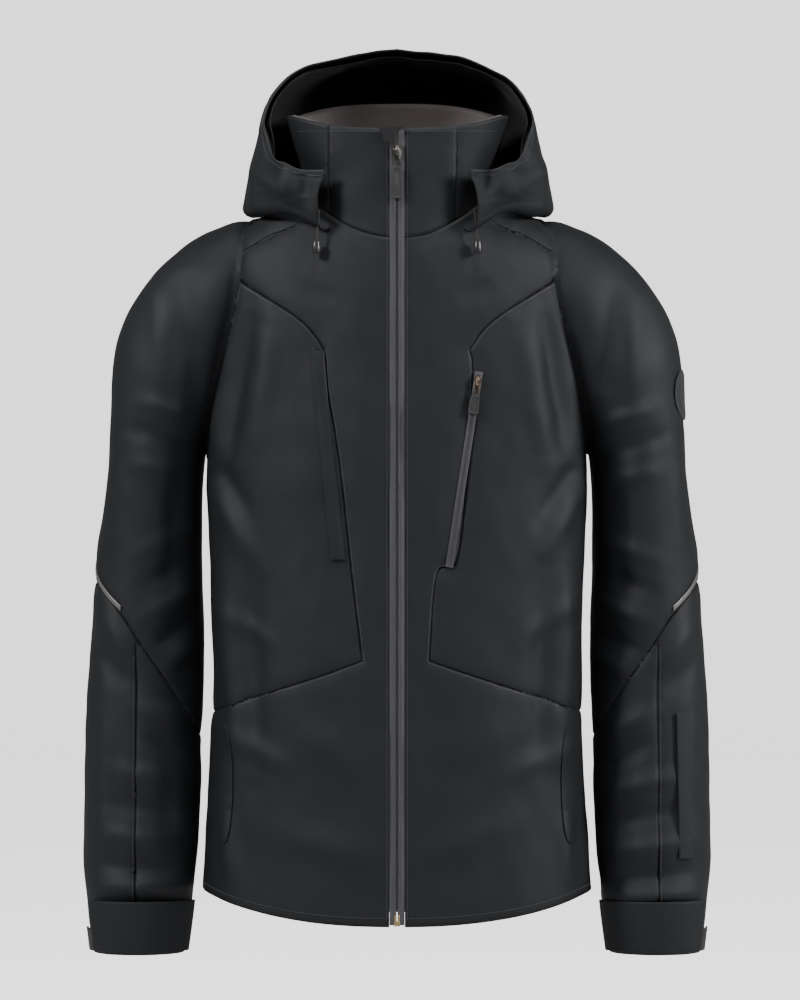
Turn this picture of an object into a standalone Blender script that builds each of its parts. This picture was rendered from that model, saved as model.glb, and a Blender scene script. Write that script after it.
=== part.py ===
"""Ski jacket: a zipped shell with a raised collar, a hood, raglan sleeves and zipped pockets.

Frame: metres, +Z up, the jacket faces -Y and the wearer's left arm is at +X.
The origin is the hanger loop at the centre of the back neck seam.
Every shell starts as a grid wrapped on one of four surfaces (torso, sleeve, collar, hood), gets its
thickness from Solidify, and is cut into its sewn panels by thin blades that follow the seams.
"""

import math

import bmesh
import bpy
from mathutils import Matrix, Vector
from mathutils.bvhtree import BVHTree

# ---------------------------------------------------------------- driving dimensions (metres)
COLLAR_TOP_Z = 0.0455  # top edge of the collar at the front zip
HEM_FRONT_Z = -0.757  # lowest point of the front hem
ZIP_TOP_Y = -0.103  # the front zip is a straight line from here ...
ZIP_HEM_Y = -0.150  # ... to here, so that its slider can run the whole way
SHELL = 0.004  # sewn outer shell with its backing
GAP = 0.0005  # clearance between neighbouring pieces
LOFT = 0.012  # insulation between the shell and the lining
LINING = 0.001
ZIP_HALF_WIDTH = 0.0078  # visible half of the front zip tape
SLIT = 0.0005  # half the parting line between the two zip tapes
CUFF_Z = -0.793
HOOD_SHELL = 0.003

# Body rings from the collar's rim to the hem, all around the body:
# z at front, side and back, half width, y at back, squareness
COLLAR_ROWS = 3  # the first rings, up to the neck seam, are the collar's
BODY_ROWS = [
    (COLLAR_TOP_Z, 0.063, 0.083, 0.1150, 0.056, 2.9),
    (0.010, 0.040, 0.054, 0.1130, 0.058, 2.6),
    (-0.030, 0.012, 0.020, 0.1080, 0.060, 2.3),
    (-0.066, -0.012, -0.004, 0.1030, 0.062, 2.1),
    (-0.082, -0.024, -0.014, 0.1250, 0.074, 2.1),
    (-0.100, -0.042, -0.034, 0.1500, 0.089, 2.1),
    (-0.128, -0.072, -0.068, 0.1760, 0.105, 2.2),
    (-0.170, -0.132, -0.130, 0.1880, 0.119, 2.3),
    (-0.225, -0.210, -0.210, 0.1930, 0.126, 2.4),
    (-0.290, -0.285, -0.285, 0.1960, 0.124, 2.4),
    (-0.400, -0.395, -0.395, 0.1930, 0.113, 2.4),
    (-0.500, -0.495, -0.495, 0.1900, 0.107, 2.4),
    (-0.600, -0.590, -0.595, 0.1930, 0.114, 2.4),
    (-0.690, -0.670, -0.680, 0.1980, 0.124, 2.4),
    (HEM_FRONT_Z, -0.727, -0.742, 0.2000, 0.131, 2.4),
]
BODY_STEPS = (32, 18)  # faces around and along the body
SLEEVE_STEPS = (14, 18)
CUFF_ROW = 10.36  # where the forearm ends and the cuff band begins
TAB_TURNS = (-0.20, 0.155)
LOOP_FOOT_Y = 0.054  # where the hanger loop is sewn on ...
HANG_Y = 0.042  # ... and where it passes over the peg
CORD_RADIUS = 0.00125
CORD_END = 0.012
CORD_ROUTE = [
    (0.0790, -0.0985, -0.0365),
    (0.0795, -0.1000, -0.0500),
    (0.0805, -0.1030, -0.0600),
    (0.0814, -0.1040, -0.0690),
]
SLIDER_Z = 0.0218
PULL_Y = -0.00455
POCKET_PULL_Y = -0.0037
SLOT_HALF = 0.0042
CHEST_ZIP = ((0.0828, -0.2002), (0.0524, -0.3980))
CHEST_WELT = [
    (-0.0875, -0.180), (-0.0735, -0.180), (-0.0675, -0.253),
    (-0.0520, -0.390), (-0.0665, -0.390), (-0.0800, -0.253),
]
MAIN_SLIDER = (0.0120, 0.0150, 0.0018)  # width, length and half the gap between its plates
MAIN_LINK = (0.0072, 0.0150)  # width and length
MAIN_TAB = (0.0120, 0.0080, 0.0330)  # width, width at its top and length
POCKET_SLIDER = (0.0068, 0.0130, 0.0010)
POCKET_LINK = (0.0066, 0.0140)
POCKET_TAB = (0.0105, 0.0080, 0.0200)
TAB_HALF_THICK = 0.0014
LINK_WIRE = 0.0014
LINK_RISE = 0.002  # how far the link reaches above the slider's bridge
SLIDER_PLATE = 0.0015
TAPE_THICK = 0.0010
FLAP_WIDTH = 0.032  # the wind flap behind the front zip
BADGE_RADIUS = 0.026
BADGE_CENTRE = (0.30, -0.012, -0.222)
HAND_POCKET = (0.1755, -0.617)  # middle of the hand pocket's flap in the front view
HAND_POCKET_HALF = (0.009, 0.060)
# Sleeve rings of the left arm from shoulder to cuff: centre, tilt of the ring's plane, half sizes
SLEEVE_ROWS = [
    ((0.140, 0.004, -0.105), 90, 0.066, 0.060),
    ((0.172, 0.005, -0.124), 84, 0.076, 0.072),
    ((0.206, 0.007, -0.157), 66, 0.080, 0.078),
    ((0.232, 0.009, -0.205), 42, 0.071, 0.078),
    ((0.2430, 0.010, -0.255), 18, 0.0545, 0.074),
    ((0.2490, 0.011, -0.310), 3, 0.0500, 0.070),
    ((0.2555, 0.012, -0.400), 0, 0.0545, 0.066),
    ((0.2590, 0.006, -0.500), 0, 0.0590, 0.063),
    ((0.2610, -0.004, -0.600), 0, 0.0600, 0.060),
    ((0.2630, -0.014, -0.690), 0, 0.0585, 0.056),
    ((0.2640, -0.019, -0.745), 0, 0.0545, 0.052),
    ((0.2645, -0.022, CUFF_Z), 0, 0.0485, 0.047),
]
# Hood rings from the face opening over the crown to the shoulders, half of each ring from the
# centre of the back to the front end: (x, y, z) at the opening, at the widest point and at the base
HOOD_RIBS = [
    ((0.000, 0.022, 0.137), (0.000, 0.175, 0.128), (0.000, 0.108, -0.012)),
    ((0.069, 0.014, 0.125), (0.085, 0.158, 0.112), (0.066, 0.104, -0.014)),
    ((0.119, -0.010, 0.097), (0.150, 0.095, 0.082), (0.128, 0.078, -0.022)),
    ((0.139, -0.034, 0.062), (0.166, 0.018, 0.046), (0.160, 0.020, -0.026)),
    ((0.131, -0.068, 0.030), (0.152, -0.052, 0.014), (0.150, -0.046, -0.024)),
    ((0.110, -0.092, 0.010), (0.120, -0.092, -0.010), (0.118, -0.088, -0.036)),
    ((0.080, -0.108, 0.004), (0.084, -0.112, -0.020), (0.080, -0.106, -0.046)),
]
# Seams of the right front in the front view (x, z), mirrored for the left front
RAGLAN_SEAM = [
    (0.060, 0.060), (0.088, -0.020), (0.108, -0.060),
    (0.134, -0.0742), (0.186, -0.0990), (0.240, -0.150),
]
YOKE_SEAM = [(0.1930, -0.0930), (0.1474, -0.1244), (0.1070, -0.1515), (0.0850, -0.1675), (0.0700, -0.1816)]
POCKET_SEAM = [(0.0700, -0.1816), (0.0520, -0.3950), (0.0350, -0.4915)]
BELLY_SEAM = [(0.0350, -0.4915), (0.1070, -0.5135), (0.1655, -0.5356), (0.2400, -0.5650)]
SIDE_SEAM_Y = 0.012
ELBOW_SEAM = [
    (0.3450, -0.378), (0.2875, -0.4405), (0.2640, -0.474),
    (0.2236, -0.531), (0.1876, -0.5947), (0.1500, -0.654),
]
FOREARM_SEAM_X = 0.2660

COLOURS = {
    "shell_fabric": (0.018, 0.020, 0.024, 0.80, 0.0),
    "lining_fabric": (0.10, 0.11, 0.13, 0.60, 0.0),
    "collar_satin": (0.16, 0.135, 0.13, 0.45, 0.0),
    "zip_tape": (0.085, 0.088, 0.10, 0.50, 0.0),
    "pull_rubber": (0.030, 0.031, 0.031, 0.45, 0.0),
    "slider_metal": (0.12, 0.11, 0.10, 0.35, 0.9),
    "reflective_tape": (0.22, 0.21, 0.22, 0.40, 0.1),
    "loop_pile": (0.030, 0.029, 0.029, 0.95, 0.0),
}


# ---------------------------------------------------------------- scene helpers
def clear_scene():
    for obj in list(bpy.data.objects):
        bpy.data.objects.remove(obj, do_unlink=True)


def new_collection(name):
    collection = bpy.data.collections.new(name)
    bpy.context.scene.collection.children.link(collection)
    return collection


def new_material(name):
    red, green, blue, roughness, metallic = COLOURS[name]
    material = bpy.data.materials.new(name)
    material.use_nodes = True
    shader = material.node_tree.nodes["Principled BSDF"]
    shader.inputs["Base Color"].default_value = (red, green, blue, 1.0)
    shader.inputs["Roughness"].default_value = roughness
    shader.inputs["Metallic"].default_value = metallic
    return material


def new_object(name, bm, material=None):
    mesh = bpy.data.meshes.new(name)
    bm.to_mesh(mesh)
    bm.free()
    obj = bpy.data.objects.new(name, mesh)
    (JACKET if material else CUTTERS).objects.link(obj)
    if material:
        mesh.materials.append(MATERIALS[material])
    else:
        obj.hide_render = True
        obj.display_type = "WIRE"
    return obj


def bake_modifiers(obj):
    """Replaces the object's mesh with what its modifiers make of it."""
    bpy.context.view_layer.update()
    graph = bpy.context.evaluated_depsgraph_get()
    mesh = bpy.data.meshes.new_from_object(obj.evaluated_get(graph))
    obj.modifiers.clear()
    obj.data = mesh
    return obj


def boolean(obj, cutters, operation="DIFFERENCE"):
    for cutter in cutters:
        modifier = obj.modifiers.new(operation.lower(), "BOOLEAN")
        modifier.operation = operation
        modifier.object = cutter
        modifier.solver = "EXACT"
        bake_modifiers(obj)
    return obj


def finish_round(obj, angle=40):
    obj.data.shade_smooth()
    obj.data.set_sharp_from_angle(angle=math.radians(angle))
    return obj


# ---------------------------------------------------------------- the four surfaces
def smooth_rows(rows, at):
    """Values of a list of rows at a fractional row number, on a Catmull-Rom curve."""
    first = max(0, min(len(rows) - 2, int(at)))
    part = at - first
    picks = [rows[max(0, min(len(rows) - 1, first + step))] for step in (-1, 0, 1, 2)]
    found = []
    for a, b, c, d in zip(*picks):
        bend = 2 * a - 5 * b + 4 * c - d + part * (3 * (b - c) + d - a)
        found.append(b + 0.5 * part * (c - a + part * bend))
    return found


def power_of(value, exponent):
    return math.copysign(abs(value) ** exponent, value)


def zip_y(z):
    """The straight line of the front zip, seen from the side."""
    share = (COLLAR_TOP_Z - z) / (COLLAR_TOP_Z - HEM_FRONT_Z)
    return ZIP_TOP_Y + (ZIP_HEM_Y - ZIP_TOP_Y) * share


def ring_point(row, turn, middle_y):
    """A point on a closed ring; turn 0 is the centre front and 0.25 the wearer's left side."""
    z_front, z_side, z_back, half_width, y_back, squareness = row
    angle = 2 * math.pi * turn
    cosine, sine = math.cos(angle), math.sin(angle)
    x = half_width * power_of(sine, 2 / squareness)
    reach = abs(cosine) ** (2 / squareness)
    y_end = zip_y(z_front) if cosine > 0 else y_back
    z_end = z_front if cosine > 0 else z_back
    return Vector((x, middle_y + (y_end - middle_y) * reach, z_side + (z_end - z_side) * cosine * cosine))


def body(turn, row):
    """The body and the collar; row counts the rings of BODY_ROWS."""
    return ring_point(smooth_rows(BODY_ROWS, row), turn, -0.010)


def sleeve(turn, row):
    """The left sleeve; turn 0 is its front and 0.25 its outer side."""
    rows = [(*centre, tilt, half_x, half_y) for centre, tilt, half_x, half_y in SLEEVE_ROWS]
    x, y, z, tilt, half_x, half_y = smooth_rows(rows, row)
    angle = 2 * math.pi * turn
    across = half_x * math.sin(angle)
    lean = math.radians(tilt)
    return Vector((x + across * math.cos(lean), y - half_y * math.cos(angle), z + across * math.sin(lean)))


def hood(along, down):
    """The hood; along runs from the right front end (0) over the back (0.5) to the left one (1)."""
    side = abs(along - 0.5) * 2
    ribs = [[*opening, *widest, *base] for opening, widest, base in HOOD_RIBS]
    found = smooth_rows(ribs, side * (len(ribs) - 1))
    opening, widest, base = (Vector(found[i : i + 3]) for i in (0, 3, 6))
    point = opening * (1 - down) ** 2 + widest * 2 * down * (1 - down) + base * down * down
    point.x = math.copysign(point.x, along - 0.5) if side > 1e-9 else 0.0
    return point


def wrapped(name, surface, u_steps, v_steps, u_range=(0.0, 1.0), v_range=(0.0, 1.0), closed=False):
    """A grid laid on a surface; closed joins its two side edges into a tube."""
    bm = bmesh.new()
    bmesh.ops.create_grid(bm, x_segments=u_steps, y_segments=v_steps, size=0.5)
    for vertex in bm.verts:
        u = u_range[0] + (u_range[1] - u_range[0]) * (vertex.co.x + 0.5)
        v = v_range[0] + (v_range[1] - v_range[0]) * (vertex.co.y + 0.5)
        vertex.co = surface(u, v)
    if closed:
        bmesh.ops.remove_doubles(bm, verts=bm.verts, dist=1e-5)
    bmesh.ops.recalc_face_normals(bm, faces=bm.faces)
    return bm


def face_outwards(bm, inside):
    """Turns the faces of an open sheet so that they look away from the point inside."""
    bm.faces.ensure_lookup_table()
    outwards = [face.normal.dot(face.calc_center_median() - inside(face)) > 0 for face in bm.faces]
    votes = 2 * sum(outwards) - len(outwards)
    if votes < 0:
        bmesh.ops.reverse_faces(bm, faces=bm.faces)


def torso_inside(face):
    return Vector((0.0, 0.0, min(-0.12, face.calc_center_median().z)))


def sleeve_inside(face):
    centre = face.calc_center_median()
    rows = [Vector(row[0]) for row in SLEEVE_ROWS]
    return min(rows, key=lambda point: (point - centre).length)


def neck_inside(face):
    return Vector((0.0, -0.02, face.calc_center_median().z))


def grow(bm, distance):
    bm.normal_update()
    moves = [(vertex, vertex.normal * distance) for vertex in bm.verts]
    for vertex, move in moves:
        vertex.co += move


def thicken(obj, thickness, offset=-1.0):
    """Adds thickness inwards (offset -1) or outwards (offset 1) and bakes it."""
    modifier = obj.modifiers.new("thickness", "SOLIDIFY")
    modifier.thickness = thickness
    modifier.offset = offset
    modifier.use_even_offset = True
    return bake_modifiers(obj)


def sheet(name, bm, inside, material, lift=0.0, thickness=SHELL, offset=-1.0):
    """A solid sheet from an open grid, lifted off its surface and thickened."""
    face_outwards(bm, inside)
    grow(bm, lift)
    return finish_round(thicken(new_object(name, bm, material), thickness, offset))


def filled(name, bm, inside, lift):
    """A closed cutter that holds everything inside a tube."""
    face_outwards(bm, inside)
    grow(bm, lift)
    bmesh.ops.holes_fill(bm, edges=[edge for edge in bm.edges if edge.is_boundary], sides=0)
    bmesh.ops.recalc_face_normals(bm, faces=bm.faces)
    return new_object(name, bm)


# ---------------------------------------------------------------- blades and blocks
def blade(name, points, y_from, y_to, width=2 * GAP):
    """A thin upright wall along a seam drawn in the front view."""
    bm = bmesh.new()
    first = [bm.verts.new((x, y_from, z)) for x, z in points]
    edges = [bm.edges.new(pair) for pair in zip(first, first[1:])]
    made = bmesh.ops.extrude_edge_only(bm, edges=edges)["geom"]
    far = [item for item in made if isinstance(item, bmesh.types.BMVert)]
    bmesh.ops.translate(bm, verts=far, vec=(0, y_to - y_from, 0))
    bmesh.ops.recalc_face_normals(bm, faces=bm.faces)
    return thicken(new_object(name, bm), width, 0.0)


def block(name, size, matrix=None, material=None, bevel=0.0):
    bm = bmesh.new()
    bmesh.ops.create_cube(bm, size=1.0)
    bmesh.ops.scale(bm, vec=size, verts=bm.verts)
    if bevel:
        bmesh.ops.bevel(bm, geom=bm.edges, offset=bevel, segments=1, affect="EDGES", profile=0.5, material=-1)
    if matrix:
        bmesh.ops.transform(bm, matrix=matrix, verts=bm.verts)
    return new_object(name, bm, material)


def prism(name, outline, y_from, y_to, material=None):
    """An outline in the front view, extruded from front to back."""
    bm = bmesh.new()
    face = bm.faces.new([bm.verts.new((x, y_from, z)) for x, z in outline])
    made = bmesh.ops.extrude_face_region(bm, geom=[face])["geom"]
    far = [item for item in made if isinstance(item, bmesh.types.BMVert)]
    bmesh.ops.translate(bm, verts=far, vec=(0, y_to - y_from, 0))
    bmesh.ops.recalc_face_normals(bm, faces=bm.faces)
    return new_object(name, bm, material)


def mirrored(points):
    return [(-x, z) for x, z in points]


def mirror_copy(obj, name, cutter=False):
    """The same shape for the other side of the body."""
    bm = bmesh.new()
    bm.from_mesh(obj.data)
    bmesh.ops.scale(bm, vec=(-1, 1, 1), verts=bm.verts)
    bmesh.ops.reverse_faces(bm, faces=bm.faces)
    copy = new_object(name, bm, None if cutter else obj.data.materials[0].name)
    return copy if cutter else finish_round(copy)


def loose_pieces(obj, names, material):
    """Splits a cut shell into its bodies; names gives each body's name from its centre."""
    bm = bmesh.new()
    bm.from_mesh(obj.data)
    bmesh.ops.remove_doubles(bm, verts=bm.verts, dist=1e-7)
    left = set(bm.faces)
    islands = []
    while left:
        queue, island = [left.pop()], []
        while queue:
            face = queue.pop()
            island.append(face)
            near = {other for edge in face.edges for other in edge.link_faces} & left
            left -= near
            queue.extend(near)
        islands.append(island)
    found = {}
    for island in sorted(islands, key=len, reverse=True):
        centre = sum((face.calc_center_median() for face in island), Vector()) / len(island)
        name = names(centre)
        if name in found or len(island) < 12:
            continue
        keep = set(island)
        part = bm.copy()
        part.faces.ensure_lookup_table()
        bm.faces.index_update()
        indices = {face.index for face in keep}
        others = [face for face in part.faces if face.index not in indices]
        bmesh.ops.delete(part, geom=others, context="FACES")
        found[name] = finish_round(new_object(name, part, material))
    bm.free()
    bpy.data.objects.remove(obj, do_unlink=True)
    return found


# ---------------------------------------------------------------- the body
def body_sheet(name, rows, material="shell_fabric", lift=0.0, thickness=SHELL, steps=BODY_STEPS):
    bm = wrapped(name, body, *steps, v_range=rows, closed=True)
    return sheet(name, bm, torso_inside, material, lift, thickness)


def body_patch(name, turns, rows, material, lift, thickness, steps=(6, 12)):
    """A sheet that covers only a part of the body's surface."""
    bm = wrapped(name, body, *steps, u_range=turns, v_range=rows)
    return sheet(name, bm, torso_inside, material, lift, thickness)


def body_part_name(centre):
    side = "left" if centre.x > 0 else "right"
    if centre.z > -0.11 and abs(centre.x) > 0.08:
        return f"shoulder_yoke_{side}"
    if centre.y > 0.02:
        return "back_panel"
    return f"side_front_{side}" if abs(centre.x) > 0.118 else f"centre_front_{side}"


def collar_part_name(centre):
    if abs(centre.x) < 0.015:
        return "collar_back"
    return f"collar_front_{'left' if centre.x > 0 else 'right'}"


def both(points):
    return (("left", points), ("right", mirrored(points)))


def front_opening(half_width):
    return block("front_opening", (2 * half_width, 0.3, 1.2), Matrix.Translation((0, -0.19, -0.4)))


def make_body(sleeve_plugs, slots):
    """The outer shell of the body, cut into its sewn panels."""
    shell = body_sheet("body_shell", (COLLAR_ROWS + 0.03, len(BODY_ROWS) - 1))
    boolean(shell, [*sleeve_plugs, *slots, front_opening(ZIP_HALF_WIDTH)])
    blades = [blade(f"raglan_blade_{side}", seam, -0.3, 0.3) for side, seam in both(RAGLAN_SEAM)]
    front_seam = YOKE_SEAM[:-1] + POCKET_SEAM[:-1] + BELLY_SEAM
    blades += [blade(f"front_blade_{side}", seam, -0.3, SIDE_SEAM_Y) for side, seam in both(front_seam)]
    for x in (-0.2, 0.2):
        blades.append(block("side_cut", (0.15, 2 * GAP, 0.9), Matrix.Translation((x, SIDE_SEAM_Y, -0.61))))
    boolean(shell, blades)
    return loose_pieces(shell, body_part_name, "shell_fabric")


def make_collar():
    shell = body_sheet("collar_shell", (0.0, COLLAR_ROWS - 0.015), steps=(BODY_STEPS[0], 4))
    seams = both([(0.060, 0.100), (0.060, -0.120)])
    blades = [blade(f"collar_blade_{side}", seam, -0.3, 0.0) for side, seam in seams]
    boolean(shell, [front_opening(ZIP_HALF_WIDTH), *blades])
    loose_pieces(shell, collar_part_name, "shell_fabric")
    lining = body_sheet("collar_lining", (0.12, 2.6), "collar_satin", -0.007, LINING, (20, 3))
    boolean(lining, [front_opening(0.020)])


def make_lining(sleeve_plugs):
    lining = body_sheet("body_lining", (COLLAR_ROWS + 0.25, 13.7), "lining_fabric", -LOFT, LINING, (20, 9))
    boolean(lining, [*sleeve_plugs, front_opening(0.020)])


def make_hanger_loop():
    """A woven strip whose two ends are sewn to the back neck; it hangs the jacket on a peg."""
    curve = bpy.data.curves.new("hanger_loop", "CURVE")
    curve.dimensions = "3D"
    curve.bevel_depth = 0.0016
    curve.bevel_resolution = 1
    curve.use_fill_caps = True
    spline = curve.splines.new("POLY")
    steps = 12
    spline.points.add(steps)
    for index in range(steps + 1):
        angle = math.pi * index / steps
        arch = 0.012 * math.sin(angle)
        y = LOOP_FOOT_Y - (LOOP_FOOT_Y - HANG_Y) * math.sin(angle)
        spline.points[index].co = (0.032 * math.cos(angle), y, arch - 0.012, 1)
    link_curve(curve, "lining_fabric")


def link_curve(curve, material):
    obj = bpy.data.objects.new(curve.name, curve)
    JACKET.objects.link(obj)
    curve.materials.append(MATERIALS[material])
    return obj


# ---------------------------------------------------------------- sleeves
def sleeve_patch(name, turns, rows, material, lift, thickness, steps=(8, 4), slope=0.0):
    surface = lambda u, v: sleeve(u, v + slope * (turns[1] - u))
    bm = wrapped(name, surface, *steps, u_range=turns, v_range=rows)
    return sheet(name, bm, sleeve_inside, material, lift, thickness)


def sleeve_tube(name, rows, material="shell_fabric", lift=0.0, thickness=SHELL, steps=SLEEVE_STEPS):
    bm = wrapped(name, sleeve, *steps, v_range=rows, closed=True)
    return sheet(name, bm, sleeve_inside, material, lift, thickness)


def sleeve_part_name(centre):
    if centre.z > -0.42:
        return "sleeve_upper_left"
    return "forearm_inner_left" if centre.x < FOREARM_SEAM_X else "forearm_outer_left"


def lining_part_name(centre):
    return "sleeve_lining_upper_left" if centre.z > -0.50 else "sleeve_lining_lower_left"


def make_sleeves(body_plug):
    """The left sleeve's pieces, then their mirror images; each cuff tab opens on its own hinge."""
    shell = sleeve_tube("sleeve_shell", (0.0, CUFF_ROW))
    boolean(shell, [body_plug, blade("elbow_blade", ELBOW_SEAM, -0.2, 0.2)])
    wedge = [(FOREARM_SEAM_X - GAP, z) for z in (-0.465, -0.9)]
    wedge += [(FOREARM_SEAM_X + GAP, z) for z in (-0.9, -0.465)]
    boolean(shell, [prism("forearm_cut", wedge, -0.2, 0.2)])
    pieces = list(loose_pieces(shell, sleeve_part_name, "shell_fabric").values())
    last = len(SLEEVE_ROWS) - 1
    lining = sleeve_tube("sleeve_lining", (5.0, last - 0.1), "lining_fabric", -0.008, LINING, (12, 8))
    boolean(lining, [blade("lining_blade", ELBOW_SEAM, -0.2, 0.2, 4 * GAP)])
    pieces += loose_pieces(lining, lining_part_name, "lining_fabric").values()
    pieces.append(sleeve_tube("cuff_left", (CUFF_ROW + 0.01, last), steps=(SLEEVE_STEPS[0], 1)))
    tab = sleeve_patch("cuff_tab_left", TAB_TURNS, (9.85, 10.85), "shell_fabric", 0.0040, 0.0020, (10, 3))
    pieces.append(tab)
    pieces.append(sleeve_patch("loop_patch_left", (0.165, 0.27), (10.42, 10.88), "loop_pile", 0.0015, 0.0010))
    stripe = sleeve_patch("reflective_stripe_left", (0.07, 0.25), (5.90, 5.955), "reflective_tape",
                          0.0012, 0.0007, (8, 1), 2.7)
    pieces.append(stripe)
    for piece in pieces:
        mirror_copy(piece, piece.name.replace("left", "right"))
    sleeve_patch("sleeve_pocket_welt", (0.065, 0.105), (7.46, 9.07), "shell_fabric", 0.0022, 0.0012, (2, 8))
    badge = sleeve_patch("sleeve_badge", (0.05, 0.35), (2.9, 5.3), "loop_pile", 0.0022, 0.0010, (8, 8))
    bm = bmesh.new()
    turn = Matrix.Translation(BADGE_CENTRE) @ Matrix.Rotation(math.pi / 2, 4, "Y")
    bmesh.ops.create_cone(bm, cap_ends=True, segments=24, radius1=BADGE_RADIUS, radius2=BADGE_RADIUS,
                          depth=0.14, matrix=turn)
    boolean(badge, [new_object("badge_disc", bm)], "INTERSECT")


# ---------------------------------------------------------------- hood
def hood_sheet(name, material, lift, thickness, along=(0.0, 1.0), steps=(24, 7)):
    bm = wrapped(name, hood, *steps, u_range=along)
    return sheet(name, bm, neck_inside, material, lift, thickness)


def make_hood():
    hood_sheet("hood_shell", "shell_fabric", 0.0, HOOD_SHELL)
    hood_sheet("hood_lining", "lining_fabric", -0.010, LINING, (0.04, 0.96), (18, 5))


def make_hood_cords():
    for side, sign in (("left", 1), ("right", -1)):
        curve = bpy.data.curves.new(f"hood_cord_{side}", "CURVE")
        curve.dimensions = "3D"
        curve.bevel_depth = CORD_RADIUS
        curve.bevel_resolution = 2
        curve.use_fill_caps = True
        spline = curve.splines.new("POLY")
        steps = 6
        spline.points.add(steps)
        for index in range(steps + 1):
            x, y, z = smooth_rows(CORD_ROUTE, index / steps * (len(CORD_ROUTE) - 1))
            spline.points[index].co = (sign * x, y, z, 1)
        link_curve(curve, "lining_fabric")
        x, y, z = CORD_ROUTE[-1]
        bm = bmesh.new()
        place = Matrix.Translation((sign * x, y, z - GAP - CORD_END / 2))
        bmesh.ops.create_cone(bm, cap_ends=True, segments=16, radius1=0.0045, radius2=0.0036,
                              depth=CORD_END, matrix=place)
        finish_round(new_object(f"cord_end_{side}", bm, "pull_rubber"))


# ---------------------------------------------------------------- zips
def zip_frame(z):
    """Local axes on the front zip's line: Z runs up the zip and -Y faces out."""
    lean = math.atan2(ZIP_HEM_Y - ZIP_TOP_Y, COLLAR_TOP_Z - HEM_FRONT_Z)
    return Matrix.Translation((0.0, zip_y(z), z)) @ Matrix.Rotation(lean, 4, "X")


def local_block(name, frame, size, centre, material=None, bevel=0.0):
    return block(name, size, frame @ Matrix.Translation(centre), material, bevel)


def make_slider(name, frame, width, length, half_gap):
    """Two plates joined by a thin web, with a bridge that the pull hangs on."""
    plate = SLIDER_PLATE
    size = (width, plate, length)
    front = local_block(name, frame, size, (0, -half_gap - plate / 2, 0), "slider_metal", 0.0004)
    others = [local_block("back_plate", frame, size, (0, half_gap + plate / 2, 0))]
    others.append(local_block("web", frame, (SLIT, 2 * half_gap + plate, 0.004), (0, 0, length / 2 - 0.0025)))
    for z in (-1, 1):
        foot = (0, -half_gap - plate - 0.0010, z * length * 0.28)
        others.append(local_block("foot", frame, (0.0030, 0.0032, 0.0016), foot))
    bar = (0, -half_gap - plate - 0.0032, 0)
    others.append(local_block("bar", frame, (0.0030, 0.0014, length * 0.56 + 0.0016), bar))
    return finish_round(boolean(front, others, "UNION"))


def make_pull(names, frame, y, link, tab):
    """A ring that hangs on the slider's bridge, and the tab that is moulded on its lower end."""
    link_width, link_length = link
    tab_width, tab_top, tab_length = tab
    middle = (0, y, LINK_RISE - link_length / 2)
    ring = local_block(names[0], frame, (link_width, LINK_WIRE, link_length), middle, "slider_metal", 0.0003)
    inside = (link_width - 2 * LINK_WIRE, 0.01, link_length - 2 * LINK_WIRE)
    boolean(ring, [local_block("ring_hole", frame, inside, middle)])
    top = LINK_RISE - link_length - GAP
    outline = [(-tab_top / 2, top), (tab_top / 2, top), (tab_width / 2, top - tab_length * 0.6),
               (tab_width * 0.42, top - tab_length), (-tab_width * 0.42, top - tab_length),
               (-tab_width / 2, top - tab_length * 0.6)]
    obj = prism(names[1], outline, y - TAB_HALF_THICK, y + TAB_HALF_THICK, "pull_rubber")
    obj.data.transform(frame)


def make_front_zip():
    middle = zip_frame((COLLAR_TOP_Z + HEM_FRONT_Z) / 2)
    length = math.hypot(COLLAR_TOP_Z - HEM_FRONT_Z, ZIP_TOP_Y - ZIP_HEM_Y)
    tape_width = ZIP_HALF_WIDTH - GAP - SLIT
    chain = 0.0022
    for side, sign in (("left", 1), ("right", -1)):
        strip = tape_width - chain - GAP
        x = sign * (SLIT + chain + GAP + strip / 2)
        local_block(f"zip_tape_{side}", middle, (strip, TAPE_THICK, length - 0.004), (x, 0, 0), "zip_tape")
        x = sign * (SLIT + chain / 2)
        run = (chain, 0.0024, length - 0.024)
        local_block(f"zip_chain_{side}", middle, run, (x, 0, 0.008), "zip_tape")
    end = zip_frame(HEM_FRONT_Z + 0.0065)
    local_block("zip_box", end, (0.0022, 0.0040, 0.011), (-0.0017, 0, 0), "slider_metal", 0.0004)
    local_block("zip_pin", end, (0.0022, 0.0024, 0.011), (0.0018, 0, 0), "slider_metal", 0.0003)
    flap = (FLAP_WIDTH, TAPE_THICK, length - 0.050)
    local_block("wind_flap", middle, flap, (0, 0.0070, -0.010), "shell_fabric")
    top = zip_frame(SLIDER_Z)
    make_slider("main_slider", top, *MAIN_SLIDER)
    hinge = top @ Matrix.Translation((0, 0, -0.0030))
    make_pull(("main_pull_link", "main_pull_tab"), hinge, PULL_Y, MAIN_LINK, MAIN_TAB)
    outline = [(-0.0185, 0.0490), (0.0072, 0.0490), (-0.0085, 0.0305), (-0.0125, 0.0305)]
    lean = zip_y(0.036)
    prism("zip_garage", outline, lean - 0.0045, lean - 0.0033, "shell_fabric")


def front_y(tree, x, z):
    return tree.ray_cast(Vector((x, -0.5, z)), Vector((0, 1, 0)))[0].y


def chest_zip_frame(tree):
    """Local axes on the chest zip: origin at its upper end, Z up along it and -Y facing out."""
    (x0, z0), (x1, z1) = CHEST_ZIP
    top, low = Vector((x0, front_y(tree, x0, z0), z0)), Vector((x1, front_y(tree, x1, z1), z1))
    up = (top - low).normalized()
    out = Vector((0, -1, 0))
    out = (out - up * out.dot(up)).normalized()
    side = up.cross(out)
    return Matrix((side, -out, up)).transposed().to_4x4(), top, low


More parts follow.
